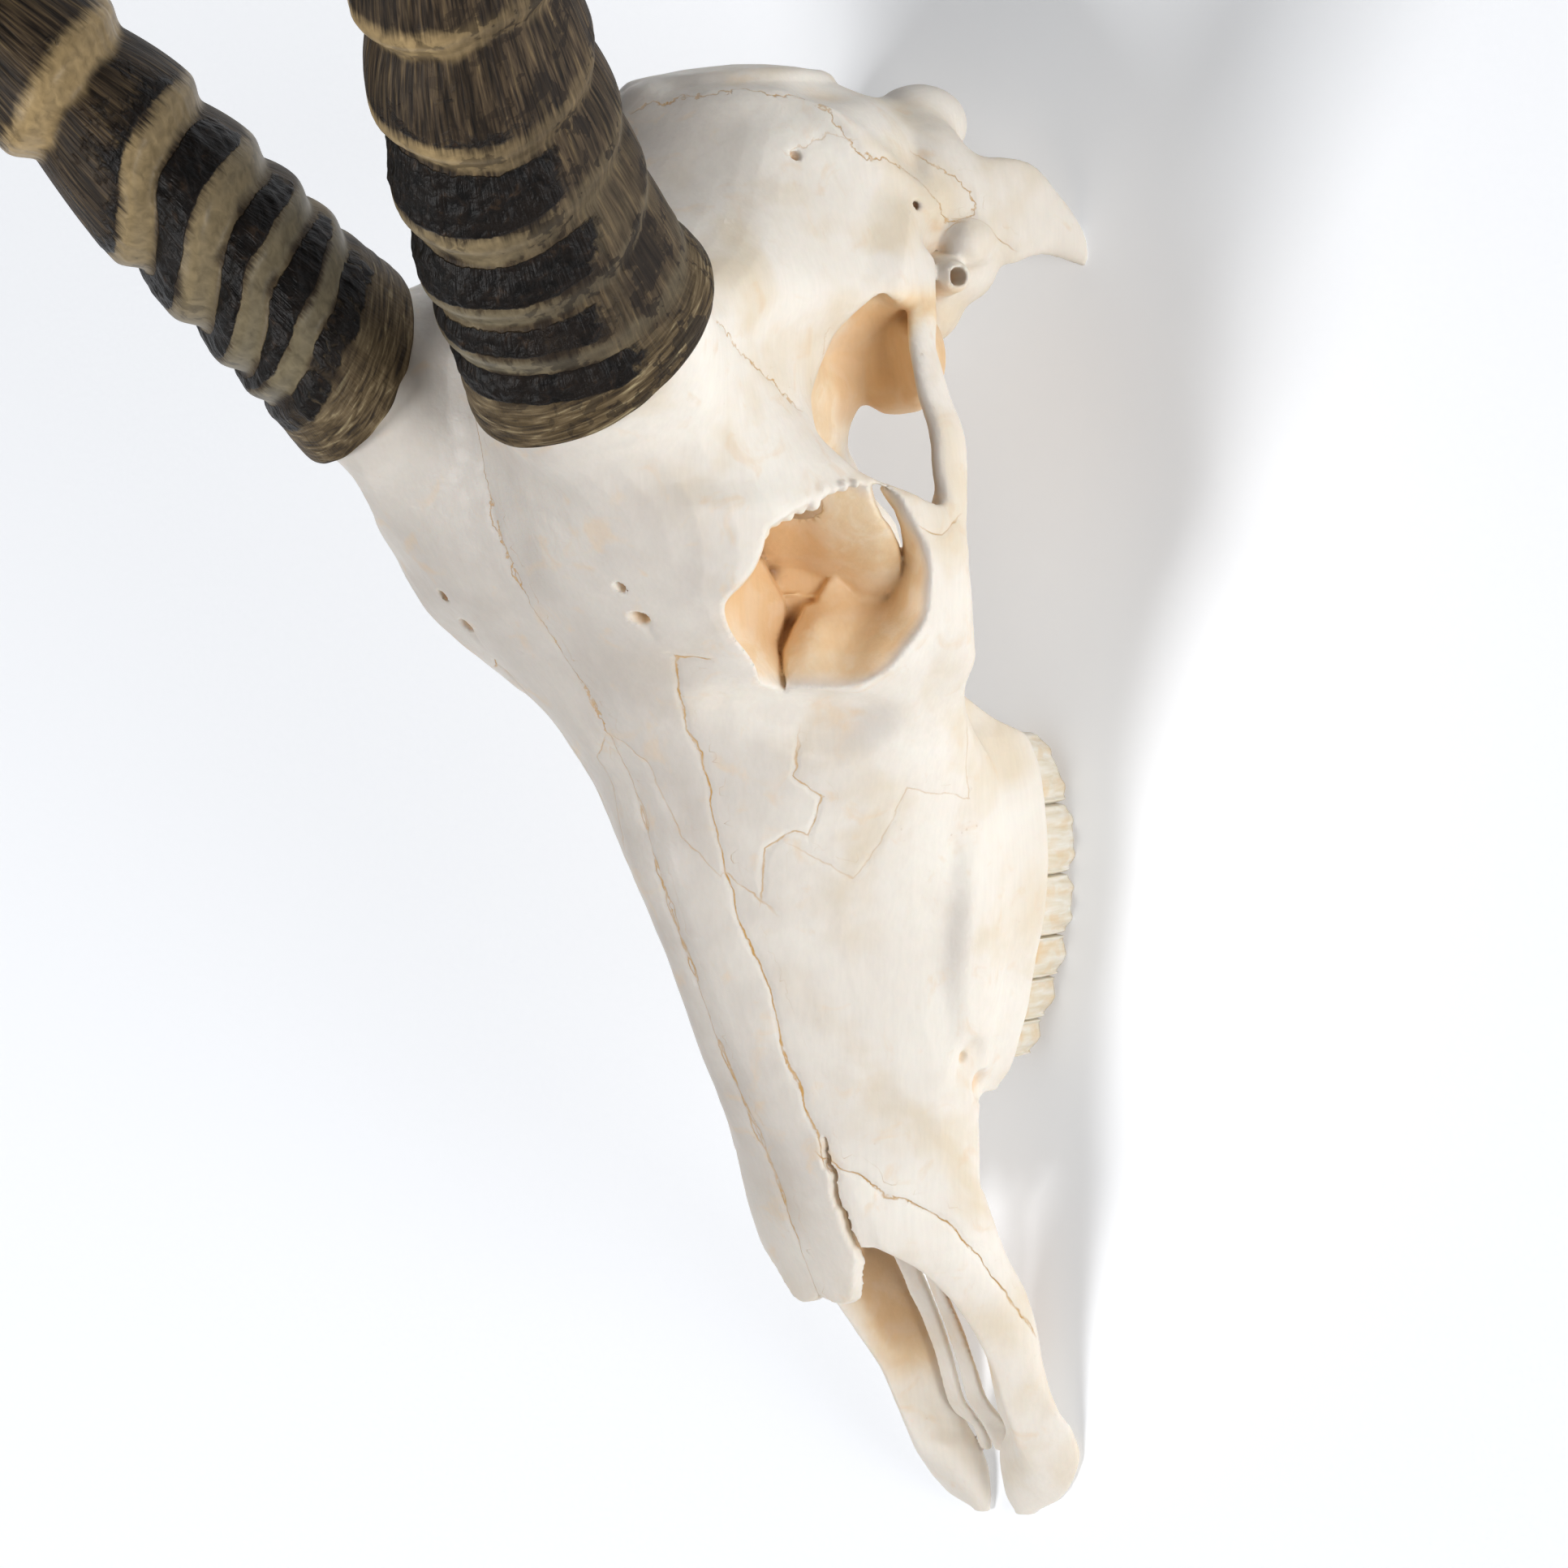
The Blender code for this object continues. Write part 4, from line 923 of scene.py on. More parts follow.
def pedicle_distance(x, y, z):
    """Distance to the bony stub under the sheath: an oval cylinder that narrows inside the brow, cut by the seat."""
    middle, normal = base_plane()
    table = np.array(HORN_OVAL, float)
    long_half, short_half, twist = hermite(table[:, 0], table[:, 1:], [HORN_RIM_S])[0]
    _, forward, side, up = (a[0] for a in horn_frames(np.array([HORN_RIM_S])))
    angle = math.radians(twist)
    long_way = math.cos(angle) * side + math.sin(angle) * up
    short_way = -math.sin(angle) * side + math.cos(angle) * up
    px, py, pz = x - middle[0], y - middle[1], z - middle[2]
    c = px * forward[0] + py * forward[1] + pz * forward[2]
    scale = np.interp(c, [-30, -18, -8, 4], [0.55, 0.85, 0.97, 1.0])
    a = px * long_way[0] + py * long_way[1] + pz * long_way[2]
    b = px * short_way[0] + py * short_way[1] + pz * short_way[2]
    q = np.sqrt((a / (long_half - 2.2) / scale) ** 2 + (b / (short_half - 2.2) / scale) ** 2)
    d = (q - 1) * (short_half - 2.2) * scale
    seat = px * normal[0] + py * normal[1] + pz * normal[2]
    return np.maximum(np.maximum(d, seat), -30 - c)


def socket_axes():
    return tuple(np.array(way) / np.linalg.norm(way) for way in (EYE_ACROSS, EYE_ALONG, EYE_OUTWARD))


def thin_plate(points, us, vs):
    """Smoothest surface through scattered heights: a plane plus a weighted sum of r^2 log r about each point."""
    points = np.array(points, float)
    uv, height = points[:, :2], points[:, 2]

    def kernel(r2):
        return 0.5 * r2 * np.log(r2 + 1e-9)

    n = len(points)
    system = np.zeros((n + 3, n + 3))
    system[:n, :n] = kernel(((uv[:, None] - uv[None]) ** 2).sum(axis=2)) + 1.5 * np.eye(n)
    system[:n, n:] = np.column_stack([np.ones(n), uv])
    system[n:, :n] = system[:n, n:].T
    weights = np.linalg.solve(system, np.concatenate([height, np.zeros(3)]))
    r2 = (us[:, None, None] - uv[:, 0]) ** 2 + (vs[None, :, None] - uv[:, 1]) ** 2
    return kernel(r2) @ weights[:n] + weights[n] + weights[n + 1] * us[:, None] + weights[n + 2] * vs[None, :]


def socket_maps():
    """Two maps over the frame that looks into the eye socket: distance to the rim, and height of the innermost wall,
    which is the highest of the walls, each falling twelve to one outside its outline."""
    us = np.arange(-32, 32.2, 0.4)
    rim = outline_distance(round_outline(np.array(EYE_RIM, float), 4), us, us)
    height = np.full(rim.shape, -23.0)
    for points, outline in EYE_WALLS:
        wall = np.clip(thin_plate(points, us, us), -32, 16)
        outside = outline_distance(np.array(outline, float), us, us)
        height = np.maximum(height, wall - 12 * np.maximum(outside, 0))
    steep = np.hypot(*np.gradient(height, 0.4))
    return us, rim, height, np.sqrt(1 + steep**2)


def read_map(grid, us, u, v):
    """Bilinear reading of a square map at u, v."""
    step = us[1] - us[0]
    a = np.clip((u - us[0]) / step, 0, len(us) - 1.001)
    b = np.clip((v - us[0]) / step, 0, len(us) - 1.001)
    i, j = a.astype(np.int32), b.astype(np.int32)
    a, b = a - i, b - j
    return (
        grid[i, j] * (1 - a) * (1 - b)
        + grid[i + 1, j] * a * (1 - b)
        + grid[i, j + 1] * (1 - a) * b
        + grid[i + 1, j + 1] * a * b
    )


def eye_hollow(x, y, z):
    """Distance to the eye socket: inside the rim, which widens a little with depth, and above the walls."""
    across, along, outward = socket_axes()
    px, py, pz = x - EYE_MIDDLE[0], y - EYE_MIDDLE[1], z - EYE_MIDDLE[2]
    u, v, w = (px * way[0] + py * way[1] + pz * way[2] for way in (across, along, outward))
    us, rim, height, steep = socket_maps()
    wider = 1 + 0.05 * np.clip((5 - w) / 20, 0, 1)
    d_rim = read_map(rim, us, u / wider, v / wider)
    d_wall = (read_map(height, us, u, v) - w) / read_map(steep, us, u, v)
    return np.maximum(d_rim, d_wall)


def nasal_cut(x, y, z):
    """Distance to the space in front of the nasal bones and of the side walls below them."""
    edge = np.array(NASAL_EDGE, float)
    start, level, slope = ROOF_UNDERSIDE
    front = np.where(z > level + slope * (y - start), np.interp(x, edge[:, 0], edge[:, 1]), NOSE_SIDE_Y)
    return (y - front) * 0.75


def bone_solid(step):
    """All the left half's bone, and the same before anything was hollowed out."""
    field = BoneField(step)
    cuts, d = field.sections(BODY, (-1, 45, -9), (99, 999, 999), True, 2.0)
    _, x, y, z = field.block((-1, 45, -9), (99, 999, 999))
    field.join(cuts, np.maximum(d, -nasal_cut(x, y, z)), 0)
    cuts, d = field.sections(PREMAXILLA, (-1, -9, -9), (32, 82, 66), False, 0.8)
    field.join(cuts, d, 2.5)
    for table, low, high, soft in (
        (PALATINE, (-1, 8, 0), (16, 84, 36), 1.2),
        (PTERYGOID, (4, 172, 20), (26, 248, 64), 3.0),
    ):
        cuts, d = field.plate(table, low, high)
        field.join(cuts, d, soft)
    cuts, x, y, z = field.block((4, 90, 2), (46, 194, 50))
    inner, outer, bottom, top = (c[None, :, None] for c in table_rows(TOOTH_RIDGE, y.ravel()).T)
    qx = np.abs(x - (inner + outer) / 2) - (outer - inner) / 2 + 2.5
    qz = np.abs(z - (bottom + top) / 2) - (top - bottom) / 2 + 2.5
    d = np.hypot(np.maximum(qx, 0), np.maximum(qz, 0)) + np.minimum(np.maximum(qx, qz), 0) - 2.5
    field.join(cuts, close_ends(d, y, min(TOOTH_RIDGE), max(TOOTH_RIDGE), 1.0), 5.0)
    for path, upright, soft in (
        (CHEEK_ARCH, (0, 0, 1), 3.5),
        (NECK_PROCESS, (0, 1, 0), 4.0),
        (NECK_CREST, (0, 1, 0), 5.0),
        (EAR_TUBE, (0, 0, 1), 1.5),
    ):
        cuts, d = field.bar(path, upright)
        field.join(cuts, d, soft)
    cuts, x, y, z = field.block((0, 215, 90), (66, 300, 166))
    field.join(cuts, pedicle_distance(x, y, z), 6.0)
    for centre, halves, soft in LUMPS:
        cuts, d = field.lump(centre, halves)
        field.join(cuts, d, soft)
    cuts, d = field.bar(FACE_HOLLOW, (0, 0, 1), 3)
    field.carve(cuts, d, 2.5)
    skin = field.f.copy()
    cuts, d = field.sections(TEMPLE, (14, 208, 30), (66, 276, 98), False, 1.0)
    field.carve(cuts, d, 3.0)
    cuts, x, y, z = field.block((10, 176, 50), (66, 240, 124))
    field.carve(cuts, eye_hollow(x, y, z), 0.8)
    across, along, outward = socket_axes()
    for u, v, w, radius in EYE_KNOBS:
        centre = np.array(EYE_MIDDLE) + u * across + v * along + w * outward
        cuts, d = field.lump(centre, (radius, radius, radius), 3)
        field.join(cuts, d, 0.8)
    cuts, d = field.sections(NOSE, (-1, 36, 24), (28, 156, 90), True, 1.0)
    field.carve(cuts, d, 0.8)
    for centre, halves, soft in PITS:
        cuts, d = field.lump(centre, halves)
        field.carve(cuts, d, soft)
    for path, soft in ((EAR_HOLE, 0.4), (BROW_GROOVE, 0.8)):
        cuts, d = field.bar(path, (0, 0, 1), 3)
        field.carve(cuts, d, soft)
    cuts, x, y, z = field.block((-1, -9, -9), (99, 999, 6))
    field.carve(cuts, np.broadcast_to(z, field.f[cuts].shape), 0)
    return field, skin


def crack_distance(x, y, z):
    """Distance to a slit that follows CRACK through the wall, its middle jogging by up to half a millimetre."""
    path = np.array(CRACK)
    order = np.argsort(path[:, 1])
    px, _, pz, half = (path[order, i] for i in range(4))
    py = path[order, 1]
    jog = 0.55 * cloud(np.stack([y * 1.0, y * 0, y * 0], axis=-1), 2.3, 5) + 0.3 * cloud(
        np.stack([y * 0, y * 1.0, y * 0], axis=-1), 0.9, 6
    )
    lean = (z - np.interp(y, py, pz)) * 0.25
    across = np.abs(x - np.interp(y, py, px) - jog - lean) - np.interp(y, py, half)
    reach = np.abs(z - np.interp(y, py, pz) + 1.5) - 5
    return np.maximum(np.maximum(across, reach), np.maximum(62.5 - y, y - 91))


def both_sides(half):
    return np.concatenate([half[:0:-1], half], axis=0)


def box_mean(f, cells, way):
    """Mean over a window of 2 cells + 1 values along one axis, by differences of the running sum."""
    f = np.moveaxis(f, way, 0)
    padded = np.concatenate([np.repeat(f[:1], cells + 1, axis=0), f, np.repeat(f[-1:], cells, axis=0)])
    total = np.cumsum(padded, axis=0, dtype=np.float64)
    mean = (total[2 * cells + 1 :] - total[: -2 * cells - 1]) / (2 * cells + 1)
    return np.moveaxis(mean.astype(np.float32), 0, way)


def read_field(f, axes, points):
    """Trilinear reading of a grid at scattered points."""
    step = axes[0][1] - axes[0][0]
    q = np.stack([(points[:, i] - axes[i][0]) / step for i in range(3)], axis=1)
    q = np.clip(q, 0, np.array(f.shape) - 1.001)
    low = q.astype(np.int32)
    t = q - low
    total = np.zeros(len(points), np.float32)
    for corner in ((i, j, k) for i in (0, 1) for j in (0, 1) for k in (0, 1)):
        at = low + corner
        total += np.where(corner, t, 1 - t).prod(axis=1) * f[at[:, 0], at[:, 1], at[:, 2]]
    return total


def quad_normals(points, faces):
    """Each vertex's normal: the sum of the cross products of its faces' diagonals or edges, brought to length one."""
    a, b = points[faces[:, 2]] - points[faces[:, 0]], points[faces[:, -1]] - points[faces[:, 1]]
    if faces.shape[1] == 3:
        a, b = points[faces[:, 1]] - points[faces[:, 0]], points[faces[:, 2]] - points[faces[:, 0]]
    cross = np.cross(a, b)
    out = np.zeros_like(points)
    for i in range(3):
        for k in range(faces.shape[1]):
            out[:, i] += np.bincount(faces[:, k], cross[:, i], len(points))
    return out / (np.linalg.norm(out, axis=1)[:, None] + 1e-12)


def seam_fields(points, normals, channels):
    """For each channel, the sideways distance to its nearest suture in mm, signed by side, and how near and strong
    that suture is: its strength, falling to nought four millimetres away. The points are first swayed by noise of up
    to a millimetre, so that the sutures wander between their corners."""
    side = np.where(points[:, :1] < 0, -1.0, 1.0) * np.array([[1.0, 0, 0]]) + np.array([[0, 1.0, 1.0]])
    p, n = points * side, normals * side
    p = p + np.column_stack([cloud(points, 6.5, 41 + i) + 0.35 * cloud(points, 2.2, 51 + i) for i in range(3)])
    across = np.full((len(points), 3), 5.0, np.float32)
    near = np.zeros((len(points), 3), np.float32)
    for channel, seams in enumerate(channels):
        best = np.full(len(points), 4.0)
        for strength, path in seams:
            path = np.array(path, float)
            for a, b in zip(path[:-1], path[1:]):
                low, high = np.minimum(a, b) - 4, np.maximum(a, b) + 4
                some = np.nonzero(((p > low) & (p < high)).all(axis=1))[0]
                along = b - a
                length = np.linalg.norm(along)
                along /= length
                reach = p[some] - a
                t = np.clip(reach @ along, 0, length)[:, None]
                gap = reach - t * along
                distance = np.linalg.norm(gap, axis=1)
                beside = np.cross(along, n[some])
                beside /= np.linalg.norm(beside, axis=1)[:, None] + 1e-9
                sideways = (gap * beside).sum(axis=1) * side[some, 0]
                closer = distance < best[some]
                some, distance, sideways = some[closer], distance[closer], sideways[closer]
                best[some] = distance
                across[some, channel] = sideways
                near[some, channel] = strength * (1 - distance / 4)
    return across, near


def bone_mesh(step):
    """Skins the solid, then breathes on it: hand-sized waves of 0.3 mm, ripples of 0.12 mm, and a groove 0.3 mm deep
    along each suture. Also returns the grids from which the colours are read."""
    field, skin = bone_solid(step)
    field.f = both_sides(field.f)
    field.axes[0] = np.concatenate([-field.axes[0][:0:-1], field.axes[0]])
    cuts, x, y, z = field.block((8, 60, 48), (22, 94, 74))
    x, y, z = np.broadcast_arrays(x, y, z)
    field.carve(cuts, crack_distance(x, y, z), 0.3)
    points, quads = surface_nets(field.f, field.axes)
    points, quads = main_body(points, quads)
    points = relax(points, quads, 2, 0.5)
    normals = quad_normals(points, quads)
    lift = 0.3 * cloud(points, 17, 11) + 0.13 * cloud(points, 6.5, 12) + 0.06 * cloud(points, 2.6, 13)
    for channels, width, depth in ((FINE_SEAMS, 0.7, 0.3), (JAGGED_SEAMS, 1.1, 0.25)):
        across, near = seam_fields(points, normals, channels)
        lift -= (depth * np.exp(-((across / width) ** 2)) * np.clip(near * 1.5, 0, 1)).max(axis=1)
    lift *= smooth(0.2, 3.0, points[:, 2])
    points = points + normals * lift[:, None]
    points[:, 2] = np.maximum(points[:, 2], 0)
    solid = (field.f < 0).astype(np.float32)
    cells = int(round(3.2 / step))
    for way in (0, 1, 2, 0, 1, 2):
        solid = box_mean(solid, cells, way)
    return points, quads, solid, both_sides(skin), field.axes


def bone_colours(obj, solid, skin, axes):
    """Vertex values that the bone's material reads. How hollow the surface is here and how deep it lies inside set the
    painted shade in creases and recesses. How far it faces up sets the greyer top, which is partly painted shade. There
    is a mask of painted shade for deep pockets and the nose, and there are the sutures."""
    mesh = obj.data
    points = vertex_array(mesh) / MM + np.array([0.0, ORIGIN_Y, 0.0])
    faces = np.empty(len(mesh.loops), np.int32)
    mesh.loops.foreach_get("vertex_index", faces)
    normals = quad_normals(points, faces.reshape(-1, 3))
    hollow = read_field(solid, axes, points) - 0.5
    depth = -read_field(skin, axes, points)
    # Inside of the nose, which is painted darker as shade.
    inside_nose = (
        smooth(19, 14, np.abs(points[:, 0]))
        * smooth(0, -4, points[:, 2] - 46 - 0.42 * (points[:, 1] - 50))
        * smooth(72, 60, points[:, 1])
        * smooth(26, 44, points[:, 1])
        * smooth(5, 9, np.abs(points[:, 0]))
    )
    x, y, z = np.abs(points[:, 0]), points[:, 1], points[:, 2]
    # The temple's hollow counts as deep: painted shade there, with some fat stain.
    in_temple = smooth(273, 265, y) * smooth(236, 246, y) * smooth(67, 58, z) * smooth(34, 40, z) * smooth(50, 46, x)
    deep = 0.6 * smooth(0.8, 5.0, depth) + 0.4 * smooth(9, 24, depth)
    deep = np.maximum(np.maximum(deep, inside_nose), in_temple)
    # Bone that faces up is painted greyer and darker, less so on the muzzle: partly its cooler tint, partly painted
    # shade.
    up = smooth(0.1, 0.85, normals[:, 2]) * np.clip(1 - deep / 0.6, 0, 1) * (0.2 + 0.8 * smooth(30, 95, y))
    add_attribute(mesh, "place", np.column_stack([hollow, deep, up]))
    # Painted shade: dark brown in deep concave pockets and, weaker, inside the nose.
    add_attribute(mesh, "hole_shade", np.maximum(smooth(0.2, 0.34, hollow) * smooth(0.3, 1.6, depth), 0.36 * inside_nose))
    for name, channels in (("fine_seam", FINE_SEAMS), ("jagged_seam", JAGGED_SEAMS)):
        across, near = seam_fields(points, normals, channels)
        add_attribute(mesh, name, across)
        add_attribute(mesh, name + "_near", near)


def mesh_object(name, points, faces, material, body="root"):
    """Puts arrays of points in metres and of faces of one size into a new smooth-shaded object."""
    mesh = bpy.data.meshes.new(name)
    faces = np.asarray(faces, np.int32)
    size = faces.shape[1]
    mesh.vertices.add(len(points))
    mesh.vertices.foreach_set("co", np.asarray(points, np.float32).ravel())
    mesh.loops.add(faces.size)
    mesh.loops.foreach_set("vertex_index", faces.ravel())
    mesh.polygons.add(len(faces))
    mesh.polygons.foreach_set("loop_start", np.arange(len(faces), dtype=np.int32) * size)
    mesh.update(calc_edges=True)
    mesh.shade_smooth()
    mesh.materials.append(material)
    obj = bpy.data.objects.new(name, mesh)
    bpy.context.scene.collection.objects.link(obj)
    if body:
        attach(obj, body)
    return obj


def thin_mesh(obj, triangles):
    """Collapses edges until about the wanted number of triangles is left, fewest where the surface is flat."""
    modifier = obj.modifiers.new("thin", "DECIMATE")
    modifier.use_collapse_triangulate = True
    modifier.ratio = min(1.0, triangles / (2 * len(obj.data.polygons)))
    graph = bpy.context.evaluated_depsgraph_get()
    mesh = bpy.data.meshes.new_from_object(obj.evaluated_get(graph))
    obj.modifiers.remove(modifier)
    old = obj.data
    obj.data = mesh
    bpy.data.meshes.remove(old)
    mesh.name = obj.name
    mesh.shade_smooth()


def vertex_array(mesh):
    co = np.empty(len(mesh.vertices) * 3, np.float32)
    mesh.vertices.foreach_get("co", co)
    return co.reshape(-1, 3).astype(float)


def add_attribute(mesh, name, values):
    values = np.asarray(values, np.float32)
    kind = "FLOAT" if values.ndim == 1 else "FLOAT_VECTOR"
    layer = mesh.attributes.new(name, kind, "POINT")
    layer.data.foreach_set("value" if kind == "FLOAT" else "vector", values.ravel())


def add_node(tree, kind, sockets=None, stops=None, **settings):
    """Adds a node with its settings, its colour stops, and a value or a link on each named socket."""
    new = tree.nodes.new(kind)
    for key, value in settings.items():
        setattr(new, key, value)
    for key, value in (sockets or {}).items():
        if isinstance(value, bpy.types.NodeSocket):
            tree.links.new(value, new.inputs[key])
        else:
            new.inputs[key].default_value = value
    if stops:
        elements = new.color_ramp.elements
        while len(elements) < len(stops):
            elements.new(0.5)
        for element, (place, colour) in zip(elements, stops):
            element.position = place
            element.color = (*colour, 1.0)
    return new


def new_material(name):
    material = bpy.data.materials.new(name)
    material.use_nodes = True
    tree = material.node_tree
    tree.nodes.clear()
    return material, tree


def grid_object(name, grid, sign, material, values):
    """A closed tube of triangles from a grid whose first and last rows are poles. Each pole's points become one, and
    the triangles that this flattens go. The values are grids too, and become the mesh's attributes."""
    rows, columns = grid.shape[:2]
    i = np.arange(rows - 1)[:, None] * columns
    j = np.arange(columns)[None, :]
    k = (j + 1) % columns
    quads = np.stack([i + j, i + k, i + columns + k, i + columns + j], axis=2).reshape(-1, 4)
    number = np.arange(rows * columns)
    number[:columns] = 0
    number[-columns:] = (rows - 1) * columns
    quads = number[quads]
    faces = np.concatenate([quads[:, [0, 1, 2]], quads[:, [0, 2, 3]]])
    a, b, c = faces.T
    faces = faces[(a != b) & (b != c) & (c != a)]
    used, faces = np.unique(faces, return_inverse=True)
    faces = faces.reshape(-1, 3)
    points = grid.reshape(-1, 3)[used] * np.array([sign, 1.0, 1.0])
    if np.einsum("ij,ij->", points[faces[:, 0]], np.cross(points[faces[:, 1]], points[faces[:, 2]])) < 0:
        faces = faces[:, ::-1]
    obj = mesh_object(name, to_metres(points), faces, material)
    for key, value in values.items():
        flat = value.reshape(rows * columns, -1)[used]
        add_attribute(obj.data, key, flat[:, 0] if flat.shape[1] == 1 else flat)
    return obj


def fourier_loop(values, wanted):
    """Smooth closed curve through values at even steps: the Fourier series that the values define."""
    n = len(values)
    c = np.fft.rfft(values) / n
    out = np.full(wanted.shape, c[0].real)
    for k in range(1, len(c)):
        weight = 1 if 2 * k == n else 2
        out += weight * (c[k] * np.exp(1j * k * wanted)).real
    return out


def ring_pattern(s, turn, crests, tar, front, around):
    """Works out the rings. Each crest has a pale band; a valley starts at the band's edge nearer the skull. From a
    valley the ridge rises by the square of a sine to its top just past the crest, then sinks as one less a power of
    the way to the next valley. Returns that relief, the ridge's height, nearness to the crest, which of it lies on
    the tip's side, and how dark the keratin is."""
    lines = np.array([fourier_loop(np.array(row, float), turn[0]) for row in crests])
    half = np.array(RING_BAND)[:, None]
    wave = np.array([cloud(around * np.array([1, 1, 0]) + [0, 0, 7.0 * i], 9, 21 + i)[0] for i in range(len(crests))])
    lines = lines + 0.9 * wave
    valleys = lines - half - 0.5
    ends = np.vstack([valleys[1:], valleys[-1:] + 22])
    relief = 0.35 + 0.3 * smooth(8, 0, valleys[0] - s)
    relief = np.where(s < valleys[0], relief * smooth(0, 3, valleys[0] - s), 0.0)
    height = np.full(s.shape[:1] + turn.shape[1:], RING_HEIGHT[0])
    near = np.zeros(relief.shape)
    tipward = np.zeros(relief.shape)
    dark = tar[0] * smooth(7.5, 5.5, valleys[0] - s) * smooth(-0.6, 0.4, valleys[0] - s + 0.2) * front
    for i, (line, start, end) in enumerate(zip(lines, valleys, ends)):
        d = s - start
        gap = end - start
        rise = np.minimum(RING_BAND[i] + 2.4, 0.55 * gap)
        up = np.sin(np.clip(d / rise, 0, 1) * math.pi / 2) ** 2
        down = 1 - np.clip((d - rise) / (gap - rise), 0, 1) ** 1.6
        here = (d >= 0) & (d < gap)
        relief = np.where(here, up * down, relief)
        mixed = RING_HEIGHT[i] * smooth(gap, 0, d) + RING_HEIGHT[min(i + 1, 11)] * smooth(0, gap, d)
        height = np.where(here, mixed, height)
        away = s - line
        near = np.maximum(near, np.clip(1 - np.abs(away) * 4 / (8 * RING_BAND[i]), 0, 1))
        tipward = np.maximum(tipward, np.clip(away / 2.5, 0, 1) * np.clip(1 - away / 9, 0, 1))
        past = away - RING_BAND[i]
        low = 0.35 if i > 2 else 0.85
        shade = smooth(-0.5, 1.5, past) * (low + (1 - low) * np.exp(-np.maximum(past, 0) / 6.5))
        shade = shade * smooth(-0.2, 1.2, end - s)
        dark = np.where(here & (past > -0.5), tar[i + 1] * shade * front, dark)
    return relief, height, near, tipward, dark


def build_horn(name, sign, crests, tar, seed, material):
    """One sheath: rows are half a millimetre apart over the strong rings and wider towards the tip, and 300 columns
    go round the oval. The rings stand highest in front; black crust adds lumps, and fibres add fine flutes."""
    s = np.concatenate(
        [np.arange(0, 111, 0.7), 111 + np.arange(0, 145, 1.5), 256 + np.arange(0, HORN_TIP_S - 272, 2.6)]
    )[:, None]
    columns = 300
    turn = np.linspace(0, 2 * math.pi, columns, endpoint=False)[None, :]
    loop = np.stack([np.cos(turn), np.sin(turn), turn * 0], axis=-1) * 24
    rim = 14.6 + 0.5 * cloud(loop, 12, seed)[0] + 0.35 * cloud(loop, 4.5, seed + 1)[0]
    rim = rim + 1.2 * np.cos(turn[0] - math.radians(140)) * 0.8
    s = rim[None, :] + s * (1 - (rim[None, :] - 14.6) / (HORN_TIP_S - 15))
    s = np.minimum(s, HORN_TIP_S - 0.6)
    full = np.broadcast_to(turn, s.shape)
    radius = np.interp(s, [0, 120, 200, 300, HORN_TIP_S], [25, 19, 15.5, 10, 2])
    wrap = np.stack([np.cos(full) * radius, np.sin(full) * radius, s], axis=-1)
    front = smooth(40, 85, np.degrees(full)) * smooth(275, 225, np.degrees(full))
    relief, height, near, tipward, dark = ring_pattern(s, full, crests, tar, front, loop)
    tall = 0.46 + 0.54 * (0.5 + 0.5 * np.cos(full - math.radians(160))) ** 0.8
    margin = height * tall * (relief - 0.4)
    crust = smooth(0.35, 0.7, dark)
    lumps = cloud(wrap, 2.4, seed + 2) * 0.45 + cloud(wrap, 1.3, seed + 3) * 0.2
    flutes = cloud(wrap * [1, 1, 0.06], 1.5, seed + 4) * 0.14 + cloud(wrap * [1, 1, 0.1], 4.5, seed + 5) * 0.25
    shreds = cloud(wrap * [0.08, 0.08, 1], 1.4, seed + 6) * 0.25 * smooth(12, 4, s - rim)
    margin = margin + crust * lumps + flutes * smooth(52, 80, s) + shreds
    margin = margin + 0.35 * cloud(wrap, 13, seed + 7)
    corner = np.clip(np.cos(full - math.radians(5)), 0, 1) ** 2
    margin = margin + 2.4 * corner * smooth(34, 16, s) * smooth(-1, 5, s - rim)
    margin = margin * smooth(HORN_TIP_S, HORN_TIP_S - 25, s)
    points = horn_surface(s, full, margin)
    cap = points[0].mean(axis=0)
    inner = [cap + (points[0] - cap) * k for k in (0.0, 0.35, 0.7, 0.93)]
    tip = points[-1].mean(axis=0)
    outer = [tip + (points[-1] - tip) * k for k in (0.6, 0.0)]
    grid = np.concatenate([np.array(inner), points, np.array(outer)])
    ends = [(4, 2)]
    near, tipward, dark, relief, wrap = (
        np.pad(value, ends + [(0, 0)] * (value.ndim - 1), mode="edge")
        for value in (near, tipward, dark, relief, wrap)
    )
    back = 0.5 + 0.5 * np.cos(np.pad(full, [(4, 2), (0, 0)], mode="edge") - math.radians(20))
    values = {
        "ring": np.stack([near, tipward, dark], axis=-1),
        "wrap": wrap * MM,
        "form": np.stack([relief, back, back * 0], axis=-1),
    }
    return grid_object(name, grid, sign, material, values)


